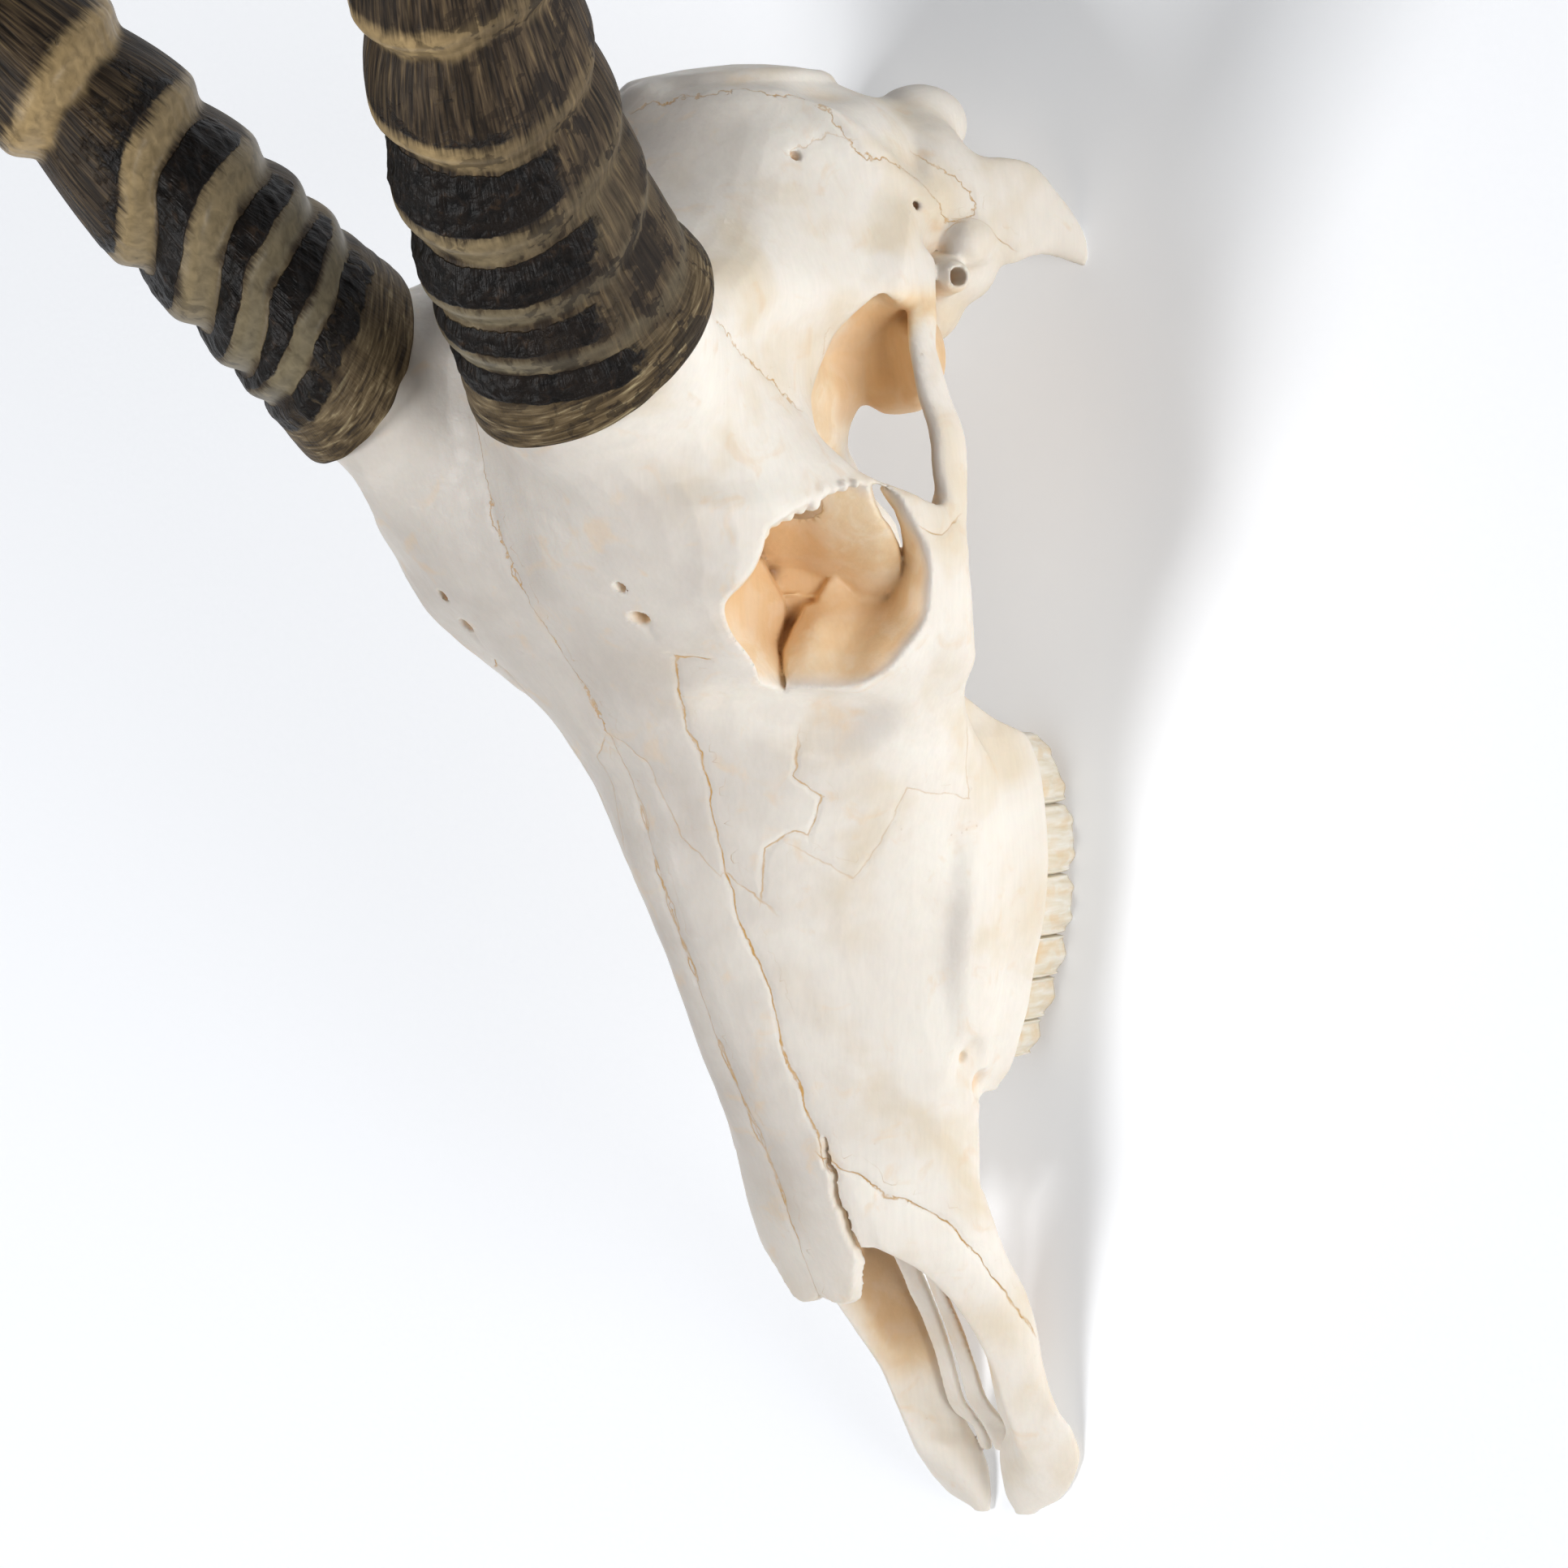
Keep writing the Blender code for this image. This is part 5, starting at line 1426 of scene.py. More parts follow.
def tooth_outline(turn, half_length, half_width, lobes):
    """Outline seen along the crown. A rounded oblong: a power of the cosine along the row and of the sine across it.
    On the cheek side three sharp ribs for each two lobes stand out, with a low swelling between; on the tongue side
    the lobes bulge, parted by a notch."""
    along = np.sign(np.cos(turn)) * np.abs(np.cos(turn)) ** 0.36
    across = np.sign(np.sin(turn)) * np.abs(np.sin(turn)) ** 0.55
    cheek = smooth(-0.2, 0.5, across)
    tongue = smooth(0.2, -0.5, across)
    if lobes == 2:
        ribs = sum(np.exp(-(((along - c) / 0.085) ** 2)) * h for c, h in ((-0.9, 1.0), (0.02, 1.15), (0.92, 0.7)))
        swell = sum(np.exp(-(((along - c) / 0.2) ** 2)) for c in (-0.46, 0.48)) * 0.45
        notch = np.exp(-((along / 0.16) ** 2)) * 2.6
    else:
        ribs = sum(np.exp(-(((along - c) / 0.1) ** 2)) * h for c, h in ((-0.85, 0.9), (0.88, 0.7)))
        swell = np.exp(-(((along + 0.15) / 0.24) ** 2)) * 0.75
        notch = np.exp(-(((along + 0.1) / 0.2) ** 2)) * 0.5
    x = across * half_width + cheek * (1.35 * ribs + swell - 1.1) + tongue * notch
    return x, along * half_length, ribs * cheek


def build_tooth(spec, side, sign, material):
    """One cheek tooth: rings of the outline go down the crown, lean in towards the bite, then close over a bite
    surface with crescent ridges and two dark hollows."""
    name, front, rear, x_front, x_rear, width, lobes, bite_front, bite_rear = spec
    turn = np.linspace(0, 2 * math.pi, 132, endpoint=False)[None, :]
    half_length, half_width = (rear - front) / 2 + 0.42, width / 2
    x, y, ribs = tooth_outline(turn, half_length, half_width, lobes)
    share = np.concatenate([np.ones(5), np.linspace(1, 0, 30), np.zeros(16)])[:, None]
    spread = np.concatenate([[0, 0.3, 0.6, 0.85, 0.97], np.ones(30), np.linspace(0.985, 0, 16)])[:, None]
    lean = hermite([0, 0.3, 1], [-1.6, -0.4, 0.6], share[:, 0])
    scale = hermite([0, 0.3, 1], [0.985, 1.0, 0.97], share[:, 0])
    y_here = (front + rear) / 2 + y * spread * scale
    part = (y_here - front) / (rear - front)
    middle = x_front + (x_rear - x_front) * part - half_width
    seed = sum(ord(letter) for letter in name + side)
    wobble = 0.25 * cloud(np.stack(np.broadcast_arrays(x, y, share * 22), axis=-1), 3.2, seed)
    x_here = middle + x * spread * scale + lean + wobble * spread
    bite = bite_front + (bite_rear - bite_front) * part
    cusp = 0.5 - 0.5 * np.cos(2 * math.pi * part * lobes)
    worn = (1 - cusp) * 1.5 * smooth(0.35, 0.0, share) * np.ones_like(x)
    z = bite + (TOOTH_TOP_Z - bite) * share + worn
    on_bite = (share == 0) * (spread < 0.99)
    across = x * spread / half_width
    pits = 0
    for centre in (0.25, 0.75) if lobes == 2 else (0.5,):
        offset = (part - centre) * (2 if lobes == 2 else 1.2)
        curve = across - 0.15 - 0.9 * offset**2
        pits = pits + np.exp(-((curve / 0.15) ** 2) - (offset / 0.34) ** 2)
    rim = smooth(1.0, 0.84, spread)
    z = z + on_bite * (0.55 * rim + 1.9 * pits * rim)
    grid = np.stack([x_here, y_here, z], axis=-1)
    worn_face = on_bite * rim * np.ones_like(x)
    crown = [share * np.ones_like(x), np.clip(ribs, 0, 1) * np.ones_like(share), worn_face]
    values = {"crown": np.stack(crown, axis=-1), "pit": np.clip(pits * on_bite, 0, 1)}
    return grid_object("tooth_" + name + "_" + side, grid, sign, material, values)


# Cleaned and sun-bleached bone, boiled and dried: a matt, slightly chalky shell that lets a little light in, cream on
# the flanks. Bone that faces up is greyer and darker: partly its own cooler tint, partly painted shade. The hollows are
# peach, partly where fat stayed, and turn tan deeper in as painted shade. Concave creases get a patchy amber, partly
# dirt and partly painted shade, and deep pockets a painted brown shade. Its sutures keep an amber line.
def bone_material(settings):
    material, tree = new_material("bleached bone")
    coords = add_node(tree, "ShaderNodeTexCoord").outputs["Object"]
    place = add_node(tree, "ShaderNodeAttribute", attribute_name="place").outputs["Vector"]
    place = add_node(tree, "ShaderNodeSeparateXYZ", {0: place}).outputs
    noises = {}
    for key, size, detail, warp in (
        ("cloudy", 0.024, 3.0, 0.4),
        ("stain", 0.008, 5.0, 0.8),
        ("grit", 0.0011, 2.0, 0.0),
        ("ripple", 0.0035, 3.0, 0.3),
        ("wiggle", 0.0042, 4.0, 0.0),
        ("zigzag", 0.0022, 3.0, 0.0),
    ):
        noises[key] = add_node(
            tree,
            "ShaderNodeTexNoise",
            {"Vector": coords, "Scale": 1 / size, "Detail": detail, "Distortion": warp},
        ).outputs
    stretch = add_node(tree, "ShaderNodeMapping", {"Vector": coords, "Scale": (1 / 0.0009, 1 / 0.011, 1 / 0.0009)})
    grain = add_node(tree, "ShaderNodeTexNoise", {"Vector": stretch.outputs[0], "Scale": 1.0, "Detail": 3.0})
    base = add_node(
        tree,
        "ShaderNodeValToRGB",
        {0: noises["cloudy"][0]},
        [(0.32, linear("#E4D6BF")), (0.5, tuple(settings.bone_colour)), (0.68, linear("#F1EBE0"))],
    ).outputs[0]
    # Greyer, darker colour of bone that faces up: partly its own cooler tint, partly painted shade.
    top = add_node(
        tree,
        "ShaderNodeValToRGB",
        {0: noises["cloudy"][0]},
        [(0.35, linear("#BFB8B2")), (0.62, linear("#CCC5BD"))],
    ).outputs[0]
    up = add_node(tree, "ShaderNodeMath", {0: place[2], 1: 0.85}, operation="MULTIPLY").outputs[0]
    colour = add_node(tree, "ShaderNodeMix", {0: up, 6: base, 7: top}, data_type="RGBA").outputs[2]
    # Peach inside the hollows, partly fat stain; deeper in it turns tan as painted shade.
    inner = add_node(
        tree,
        "ShaderNodeValToRGB",
        {0: noises["stain"][0]},
        [(0.3, linear("#EBCDA4")), (0.5, tuple(settings.inner_colour)), (0.7, linear("#F8ECD8"))],
    ).outputs[0]
    inside = add_node(tree, "ShaderNodeMapRange", {0: place[1], 1: 0.0, 2: 0.6, 3: 0.0, 4: 1.0}).outputs[0]
    colour = add_node(tree, "ShaderNodeMix", {0: inside, 6: colour, 7: inner}, data_type="RGBA").outputs[2]
    # Painted shade: the deepest recesses turn tan.
    inmost = add_node(tree, "ShaderNodeMapRange", {0: place[1], 1: 0.6, 2: 1.0, 3: 0.0, 4: 0.6}).outputs[0]
    tan = (*linear("#DBAE77"), 1.0)
    colour = add_node(tree, "ShaderNodeMix", {0: inmost, 6: colour, 7: tan}, data_type="RGBA").outputs[2]
    # Concave creases turn a patchy amber: partly dirt, partly painted shade.
    hollow = add_node(
        tree,
        "ShaderNodeMapRange",
        {0: place[0], 1: 0.02, 2: 0.24, 3: 0.0, 4: 0.75},
        interpolation_type="SMOOTHSTEP",
    ).outputs[0]
    patchy_dirt_and_shade = add_node(
        tree,
        "ShaderNodeMapRange",
        {0: noises["stain"][0], 1: 0.4, 2: 0.68, 3: 0.12, 4: 1.0},
        interpolation_type="SMOOTHSTEP",
    ).outputs[0]
    hollow = add_node(tree, "ShaderNodeMath", {0: hollow, 1: patchy_dirt_and_shade}, operation="MULTIPLY").outputs[0]
    amber = (*linear("#D8AC74"), 1.0)
    colour = add_node(tree, "ShaderNodeMix", {0: hollow, 6: colour, 7: amber}, data_type="RGBA").outputs[2]
    faint = add_node(
        tree,
        "ShaderNodeMapRange",
        {0: noises["stain"][0], 1: 0.56, 2: 0.74, 3: 0.0, 4: 0.32},
        interpolation_type="SMOOTHSTEP",
    ).outputs[0]
    colour = add_node(
        tree, "ShaderNodeMix", {0: faint, 6: colour, 7: (*linear("#E2C196"), 1.0)}, data_type="RGBA"
    ).outputs[2]
    streak = add_node(
        tree, "ShaderNodeMapRange", {0: grain.outputs[0], 1: 0.3, 2: 0.7, 3: 0.975, 4: 1.015}
    ).outputs[0]
    colour = add_node(
        tree, "ShaderNodeMix", {0: 1.0, 6: colour, 7: streak}, data_type="RGBA", blend_type="MULTIPLY"
    ).outputs[2]
    masks = []
    for name, noise, sway, width in (("fine_seam", "wiggle", 1.6, 0.3), ("jagged_seam", "zigzag", 4.0, 0.36)):
        across = add_node(tree, "ShaderNodeAttribute", attribute_name=name).outputs["Vector"]
        near = add_node(tree, "ShaderNodeAttribute", attribute_name=name + "_near").outputs["Vector"]
        centred = add_node(
            tree,
            "ShaderNodeVectorMath",
            {0: noises[noise]["Color"], 1: (0.5, 0.5, 0.5)},
            operation="SUBTRACT",
        ).outputs[0]
        moved = add_node(
            tree, "ShaderNodeVectorMath", {0: centred, 1: (sway, sway, sway), 2: across}, operation="MULTIPLY_ADD"
        ).outputs[0]
        size = add_node(tree, "ShaderNodeVectorMath", {0: moved}, operation="ABSOLUTE").outputs[0]
        line = add_node(
            tree,
            "ShaderNodeMapRange",
            {6: size, 7: (0.0, 0.0, 0.0), 8: (width, width, width), 9: (1.0, 1.0, 1.0), 10: (0.0, 0.0, 0.0)},
            data_type="FLOAT_VECTOR",
            interpolation_type="SMOOTHSTEP",
        ).outputs[1]
        shown = add_node(tree, "ShaderNodeVectorMath", {0: line, 1: near}, operation="MULTIPLY").outputs[0]
        parts = add_node(tree, "ShaderNodeSeparateXYZ", {0: shown}).outputs
        masks += list(parts)
    seam = masks[0]
    for other in masks[1:]:
        seam = add_node(tree, "ShaderNodeMath", {0: seam, 1: other}, operation="MAXIMUM").outputs[0]
    kept = add_node(
        tree, "ShaderNodeMapRange", {0: noises["ripple"][0], 1: 0.3, 2: 0.6, 3: 0.55, 4: 1.25}
    ).outputs[0]
    seam = add_node(tree, "ShaderNodeMath", {0: seam, 1: kept}, operation="MULTIPLY", use_clamp=True).outputs[0]
    colour = add_node(
        tree, "ShaderNodeMix", {0: seam, 6: colour, 7: (*settings.suture_colour, 1.0)}, data_type="RGBA"
    ).outputs[2]
    cells = add_node(tree, "ShaderNodeTexVoronoi", {"Vector": coords, "Scale": 1 / 0.0021, "Randomness": 1.0})
    dots = add_node(
        tree,
        "ShaderNodeMapRange",
        {0: cells.outputs["Distance"], 1: 0.08, 2: 0.2, 3: 0.6, 4: 0.0},
        interpolation_type="SMOOTHSTEP",
    ).outputs[0]
    porous = add_node(
        tree,
        "ShaderNodeMapRange",
        {0: noises["stain"]["Color"], 1: 0.6, 2: 0.72, 3: 0.0, 4: 0.5},
        interpolation_type="SMOOTHSTEP",
    ).outputs[0]
    dots = add_node(tree, "ShaderNodeMath", {0: dots, 1: porous}, operation="MULTIPLY").outputs[0]
    colour = add_node(
        tree, "ShaderNodeMix", {0: dots, 6: colour, 7: (*linear("#A97E50"), 1.0)}, data_type="RGBA"
    ).outputs[2]
    # Painted shade: dark brown in deep pockets and inside the nose.
    hole_shade = add_node(tree, "ShaderNodeAttribute", attribute_name="hole_shade").outputs["Fac"]
    colour = add_node(
        tree, "ShaderNodeMix", {0: hole_shade, 6: colour, 7: (*linear("#86592F"), 1.0)}, data_type="RGBA"
    ).outputs[2]
    height = add_node(tree, "ShaderNodeMath", {0: noises["grit"][0], 1: 0.06}, operation="MULTIPLY").outputs[0]
    for value, scale in ((noises["ripple"][0], 0.16), (grain.outputs[0], 0.015), (seam, -0.14), (dots, -0.12)):
        height = add_node(
            tree, "ShaderNodeMath", {0: value, 1: scale, 2: height}, operation="MULTIPLY_ADD"
        ).outputs[0]
    bump = add_node(tree, "ShaderNodeBump", {"Height": height, "Distance": MM, "Strength": 1.0}).outputs[0]
    rough = add_node(
        tree, "ShaderNodeMapRange", {0: noises["ripple"][0], 1: 0.3, 2: 0.7, 3: 0.46, 4: 0.62}
    ).outputs[0]
    shader = add_node(
        tree,
        "ShaderNodeBsdfPrincipled",
        {
            "Base Color": colour,
            "Roughness": rough,
            "IOR": 1.5,
            "Normal": bump,
            "Subsurface Weight": 0.18,
            "Subsurface Radius": (1.0, 0.5, 0.3),
            "Subsurface Scale": 0.003,
        },
    )
    add_node(tree, "ShaderNodeOutputMaterial", {"Surface": shader.outputs["BSDF"]})
    return material


# Keratin, grown in rings over a bony core and worn smooth on the crests: pale waxy bands, black crust of dried
# gum and dust in the valleys, and lengthwise fibres above. The base shows as stacked edges of growth layers.
def horn_material(settings):
    material, tree = new_material("ringed keratin")
    ring = add_node(tree, "ShaderNodeAttribute", attribute_name="ring").outputs["Vector"]
    near, tipward, dark = add_node(tree, "ShaderNodeSeparateXYZ", {0: ring}).outputs
    wrap = add_node(tree, "ShaderNodeAttribute", attribute_name="wrap").outputs["Vector"]
    along = add_node(tree, "ShaderNodeSeparateXYZ", {0: wrap}).outputs[2]
    form = add_node(tree, "ShaderNodeAttribute", attribute_name="form").outputs["Vector"]
    relief, back, _ = add_node(tree, "ShaderNodeSeparateXYZ", {0: form}).outputs
    noises = {}
    for key, scale, detail, warp in (
        ("fibre", (1 / 0.0007, 1 / 0.0007, 1 / 0.014), 3.0, 0.3),
        ("strand", (1 / 0.0016, 1 / 0.0016, 1 / 0.03), 2.0, 0.2),
        ("layer", (1 / 0.007, 1 / 0.007, 1 / 0.0008), 3.0, 0.6),
        ("lump", (1 / 0.0022, 1 / 0.0022, 1 / 0.0022), 4.0, 0.5),
        ("patch", (1 / 0.009, 1 / 0.009, 1 / 0.009), 4.0, 0.6),
    ):
        mapping = add_node(tree, "ShaderNodeMapping", {"Vector": wrap, "Scale": scale}).outputs[0]
        noises[key] = add_node(
            tree, "ShaderNodeTexNoise", {"Vector": mapping, "Scale": 1.0, "Detail": detail, "Distortion": warp}
        ).outputs[0]
    fibres = add_node(
        tree,
        "ShaderNodeValToRGB",
        {0: noises["fibre"]},
        [(0.3, linear("#16110D")), (0.44, linear("#32281E")), (0.6, tuple(settings.fibre_colour)),
         (0.78, linear("#7A6748"))],
    ).outputs[0]
    strands = add_node(
        tree, "ShaderNodeMapRange", {0: noises["strand"], 1: 0.36, 2: 0.6, 3: 0.55, 4: 1.1}
    ).outputs[0]
    colour = add_node(
        tree, "ShaderNodeMix", {0: 1.0, 6: fibres, 7: strands}, data_type="RGBA", blend_type="MULTIPLY"
    ).outputs[2]
    worn = add_node(
        tree,
        "ShaderNodeValToRGB",
        {0: noises["patch"]},
        [(0.3, linear("#2A2119")), (0.45, linear("#4C3F2E")), (0.58, linear("#6E6049")), (0.7, linear("#86765A"))],
    ).outputs[0]
    low = add_node(
        tree, "ShaderNodeMapRange", {0: along, 1: 0.085, 2: 0.045, 3: 0.0, 4: 1.0}, interpolation_type="SMOOTHSTEP"
    ).outputs[0]
    front = add_node(tree, "ShaderNodeMapRange", {0: back, 1: 0.3, 2: 0.9, 3: 1.0, 4: 0.3}).outputs[0]
    low = add_node(tree, "ShaderNodeMath", {0: low, 1: front}, operation="MULTIPLY").outputs[0]
    colour = add_node(tree, "ShaderNodeMix", {0: low, 6: colour, 7: worn}, data_type="RGBA").outputs[2]
    layers = add_node(
        tree,
        "ShaderNodeValToRGB",
        {0: noises["layer"]},
        [(0.3, linear("#2C2218")), (0.46, linear("#55462F")), (0.6, linear("#75644A")), (0.74, linear("#AB9C78"))],
    ).outputs[0]
    base = add_node(
        tree, "ShaderNodeMapRange", {0: along, 1: 0.03, 2: 0.021, 3: 0.0, 4: 0.9}, interpolation_type="SMOOTHSTEP"
    ).outputs[0]
    colour = add_node(tree, "ShaderNodeMix", {0: base, 6: colour, 7: layers}, data_type="RGBA").outputs[2]
    sway = add_node(tree, "ShaderNodeMath", {0: noises["fibre"], 1: 0.5}, operation="SUBTRACT").outputs[0]
    fringe = add_node(tree, "ShaderNodeMath", {0: sway, 1: tipward}, operation="MULTIPLY").outputs[0]
    band = add_node(tree, "ShaderNodeMath", {0: fringe, 1: 1.0, 2: near}, operation="MULTIPLY_ADD").outputs[0]
    rag = add_node(tree, "ShaderNodeMath", {0: noises["patch"], 1: 0.5}, operation="SUBTRACT").outputs[0]
    band = add_node(tree, "ShaderNodeMath", {0: rag, 1: 0.7, 2: band}, operation="MULTIPLY_ADD").outputs[0]
    band = add_node(
        tree, "ShaderNodeMapRange", {0: band, 1: 0.3, 2: 0.72, 3: 0.0, 4: 1.0}, interpolation_type="SMOOTHSTEP"
    ).outputs[0]
    shown = add_node(
        tree, "ShaderNodeMapRange", {0: back, 1: 0.35, 2: 0.85, 3: 1.0, 4: 0.25}, interpolation_type="SMOOTHSTEP"
    ).outputs[0]
    band = add_node(tree, "ShaderNodeMath", {0: band, 1: shown}, operation="MULTIPLY").outputs[0]
    height_on_horn = add_node(
        tree, "ShaderNodeMapRange", {0: along, 1: 0.045, 2: 0.1, 3: 0.0, 4: 1.0}
    ).outputs[0]
    crest = add_node(
        tree,
        "ShaderNodeMix",
        {0: height_on_horn, 6: (*linear("#776D57"), 1.0), 7: (*settings.crest_colour, 1.0)},
        data_type="RGBA",
    ).outputs[2]
    mottle = add_node(
        tree, "ShaderNodeMapRange", {0: noises["lump"], 1: 0.3, 2: 0.7, 3: 0.7, 4: 1.2}
    ).outputs[0]
    crest = add_node(
        tree, "ShaderNodeMix", {0: 1.0, 6: crest, 7: mottle}, data_type="RGBA", blend_type="MULTIPLY"
    ).outputs[2]
    colour = add_node(tree, "ShaderNodeMix", {0: band, 6: colour, 7: crest}, data_type="RGBA").outputs[2]
    specks = add_node(tree, "ShaderNodeMath", {0: noises["lump"], 1: 0.5}, operation="SUBTRACT").outputs[0]
    crust = add_node(tree, "ShaderNodeMath", {0: specks, 1: 0.7, 2: dark}, operation="MULTIPLY_ADD").outputs[0]
    crust = add_node(tree, "ShaderNodeMath", {0: rag, 1: 0.9, 2: crust}, operation="MULTIPLY_ADD").outputs[0]
    crust = add_node(
        tree, "ShaderNodeMapRange", {0: crust, 1: 0.36, 2: 0.58, 3: 0.0, 4: 1.0}, interpolation_type="SMOOTHSTEP"
    ).outputs[0]
    black = add_node(
        tree,
        "ShaderNodeValToRGB",
        {0: noises["lump"]},
        [(0.4, tuple(settings.crust_colour)), (0.62, linear("#1B1511")), (0.78, linear("#3A2C20"))],
    ).outputs[0]
    colour = add_node(tree, "ShaderNodeMix", {0: crust, 6: colour, 7: black}, data_type="RGBA").outputs[2]
    blots = add_node(
        tree, "ShaderNodeMath", {0: specks, 1: 0.5, 2: noises["patch"]}, operation="MULTIPLY_ADD"
    ).outputs[0]
    blots = add_node(
        tree, "ShaderNodeMapRange", {0: blots, 1: 0.44, 2: 0.41, 3: 0.0, 4: 0.75}, interpolation_type="SMOOTHSTEP"
    ).outputs[0]
    blots = add_node(tree, "ShaderNodeMath", {0: blots, 1: back}, operation="MULTIPLY").outputs[0]
    colour = add_node(
        tree, "ShaderNodeMix", {0: blots, 6: colour, 7: (*linear("#1F1813"), 1.0)}, data_type="RGBA"
    ).outputs[2]
    fibrous = add_node(tree, "ShaderNodeMath", {0: 1.0, 1: band}, operation="SUBTRACT").outputs[0]
    height = add_node(tree, "ShaderNodeMath", {0: noises["fibre"], 1: fibrous}, operation="MULTIPLY").outputs[0]
    height = add_node(tree, "ShaderNodeMath", {0: height, 1: 0.35}, operation="MULTIPLY").outputs[0]
    rough_lumps = add_node(tree, "ShaderNodeMath", {0: noises["lump"], 1: crust}, operation="MULTIPLY").outputs[0]
    stacked = add_node(tree, "ShaderNodeMath", {0: noises["layer"], 1: base}, operation="MULTIPLY").outputs[0]
    for value, scale in ((rough_lumps, 0.6), (stacked, 0.5), (noises["lump"], 0.06)):
        height = add_node(
            tree, "ShaderNodeMath", {0: value, 1: scale, 2: height}, operation="MULTIPLY_ADD"
        ).outputs[0]
    bump = add_node(tree, "ShaderNodeBump", {"Height": height, "Distance": MM, "Strength": 1.0}).outputs[0]
    rough = add_node(tree, "ShaderNodeMapRange", {0: band, 1: 0.0, 2: 1.0, 3: 0.56, 4: 0.38}).outputs[0]
    rough = add_node(tree, "ShaderNodeMath", {0: crust, 1: -0.1, 2: rough}, operation="MULTIPLY_ADD").outputs[0]
    shader = add_node(
        tree,
        "ShaderNodeBsdfPrincipled",
        {"Base Color": colour, "Roughness": rough, "IOR": 1.54, "Specular IOR Level": 0.16, "Normal": bump},
    )
    add_node(tree, "ShaderNodeOutputMaterial", {"Surface": shader.outputs["BSDF"]})
    return material


# Enamel of a grazer's tall cheek teeth, grown in ribs and polished by chewing: glassy cream over yellower dentine,
# with brown plant stain in the grooves and in the hollows of the bite.
def enamel_material(settings):
    material, tree = new_material("tooth enamel")
    coords = add_node(tree, "ShaderNodeTexCoord").outputs["Object"]
    crown = add_node(tree, "ShaderNodeAttribute", attribute_name="crown").outputs["Vector"]
    share, rib, worn = add_node(tree, "ShaderNodeSeparateXYZ", {0: crown}).outputs
    pit = add_node(tree, "ShaderNodeAttribute", attribute_name="pit").outputs["Fac"]
    stretch = add_node(tree, "ShaderNodeMapping", {"Vector": coords, "Scale": (1 / 0.0012, 1 / 0.0012, 1 / 0.009)})
    streak = add_node(
        tree, "ShaderNodeTexNoise", {"Vector": stretch.outputs[0], "Scale": 1.0, "Detail": 3.0}
    ).outputs[0]
    stain = add_node(
        tree, "ShaderNodeTexNoise", {"Vector": coords, "Scale": 1 / 0.0045, "Detail": 4.0, "Distortion": 0.5}
    ).outputs[0]
    cream = add_node(
        tree,
        "ShaderNodeValToRGB",
        {0: streak},
        [(0.3, linear("#DBCEB4")), (0.5, tuple(settings.enamel_colour)), (0.7, linear("#EAE6DC"))],
    ).outputs[0]
    gum = add_node(
        tree, "ShaderNodeMapRange", {0: share, 1: 0.25, 2: 0.62, 3: 0.0, 4: 0.6}, interpolation_type="SMOOTHSTEP"
    ).outputs[0]
    groove = add_node(tree, "ShaderNodeMapRange", {0: rib, 1: 0.0, 2: 0.35, 3: 0.4, 4: 0.0}).outputs[0]
    mark = add_node(
        tree, "ShaderNodeMapRange", {0: stain, 1: 0.42, 2: 0.66, 3: 0.15, 4: 1.0}, interpolation_type="SMOOTHSTEP"
    ).outputs[0]
    tint = add_node(tree, "ShaderNodeMath", {0: gum, 1: groove}, operation="ADD").outputs[0]
    tint = add_node(tree, "ShaderNodeMath", {0: tint, 1: mark}, operation="MULTIPLY", use_clamp=True).outputs[0]
    colour = add_node(
        tree, "ShaderNodeMix", {0: tint, 6: cream, 7: (*linear("#DDB983"), 1.0)}, data_type="RGBA"
    ).outputs[2]
    colour = add_node(
        tree, "ShaderNodeMix", {0: worn, 6: colour, 7: (*linear("#CBAE7B"), 1.0)}, data_type="RGBA"
    ).outputs[2]
    colour = add_node(
        tree, "ShaderNodeMix", {0: pit, 6: colour, 7: (*linear("#4B3522"), 1.0)}, data_type="RGBA"
    ).outputs[2]
    bump = add_node(
        tree, "ShaderNodeBump", {"Height": streak, "Distance": 0.12 * MM, "Strength": 1.0}
    ).outputs[0]
    shader = add_node(
        tree,
        "ShaderNodeBsdfPrincipled",
        {
            "Base Color": colour,
            "Roughness": 0.3,
            "IOR": 1.62,
            "Normal": bump,
            "Subsurface Weight": 0.15,
            "Subsurface Radius": (1.0, 0.6, 0.35),
            "Subsurface Scale": 0.002,
        },
    )
    add_node(tree, "ShaderNodeOutputMaterial", {"Surface": shader.outputs["BSDF"]})
    return material


class BlesbokBone(bpy.types.PropertyGroup):
    step: FloatProperty(
        name="Grid step", description="Distance between the grid points that carry the bone", default=0.66 * MM,
        min=0.5 * MM, max=3 * MM, unit="LENGTH", subtype="DISTANCE"
    )
    triangles: IntProperty(
        name="Triangles", description="About how many triangles the cranium keeps", default=190000, min=2000
    )
    bone_colour: FloatVectorProperty(
        name="Bone", description="Commonest colour of the outer bone", default=linear("#EDE5D9"), subtype="COLOR"
    )
    inner_colour: FloatVectorProperty(
        name="Inside", description="Colour inside the hollows", default=linear("#F0D9B6"), subtype="COLOR"
    )
    suture_colour: FloatVectorProperty(
        name="Sutures", description="Colour of the lines between the bones", default=linear("#C4964F"), subtype="COLOR"
    )


class BlesbokHorns(bpy.types.PropertyGroup):
    crest_colour: FloatVectorProperty(
        name="Crests", description="Colour of the worn bands on the rings", default=linear("#A28B64"), subtype="COLOR"
    )
    fibre_colour: FloatVectorProperty(
        name="Fibres", description="Commonest colour of the keratin fibres", default=linear("#524433"), subtype="COLOR"
    )
    crust_colour: FloatVectorProperty(
        name="Crust", description="Colour of the crust in the valleys", default=linear("#0C0A09"), subtype="COLOR"
    )


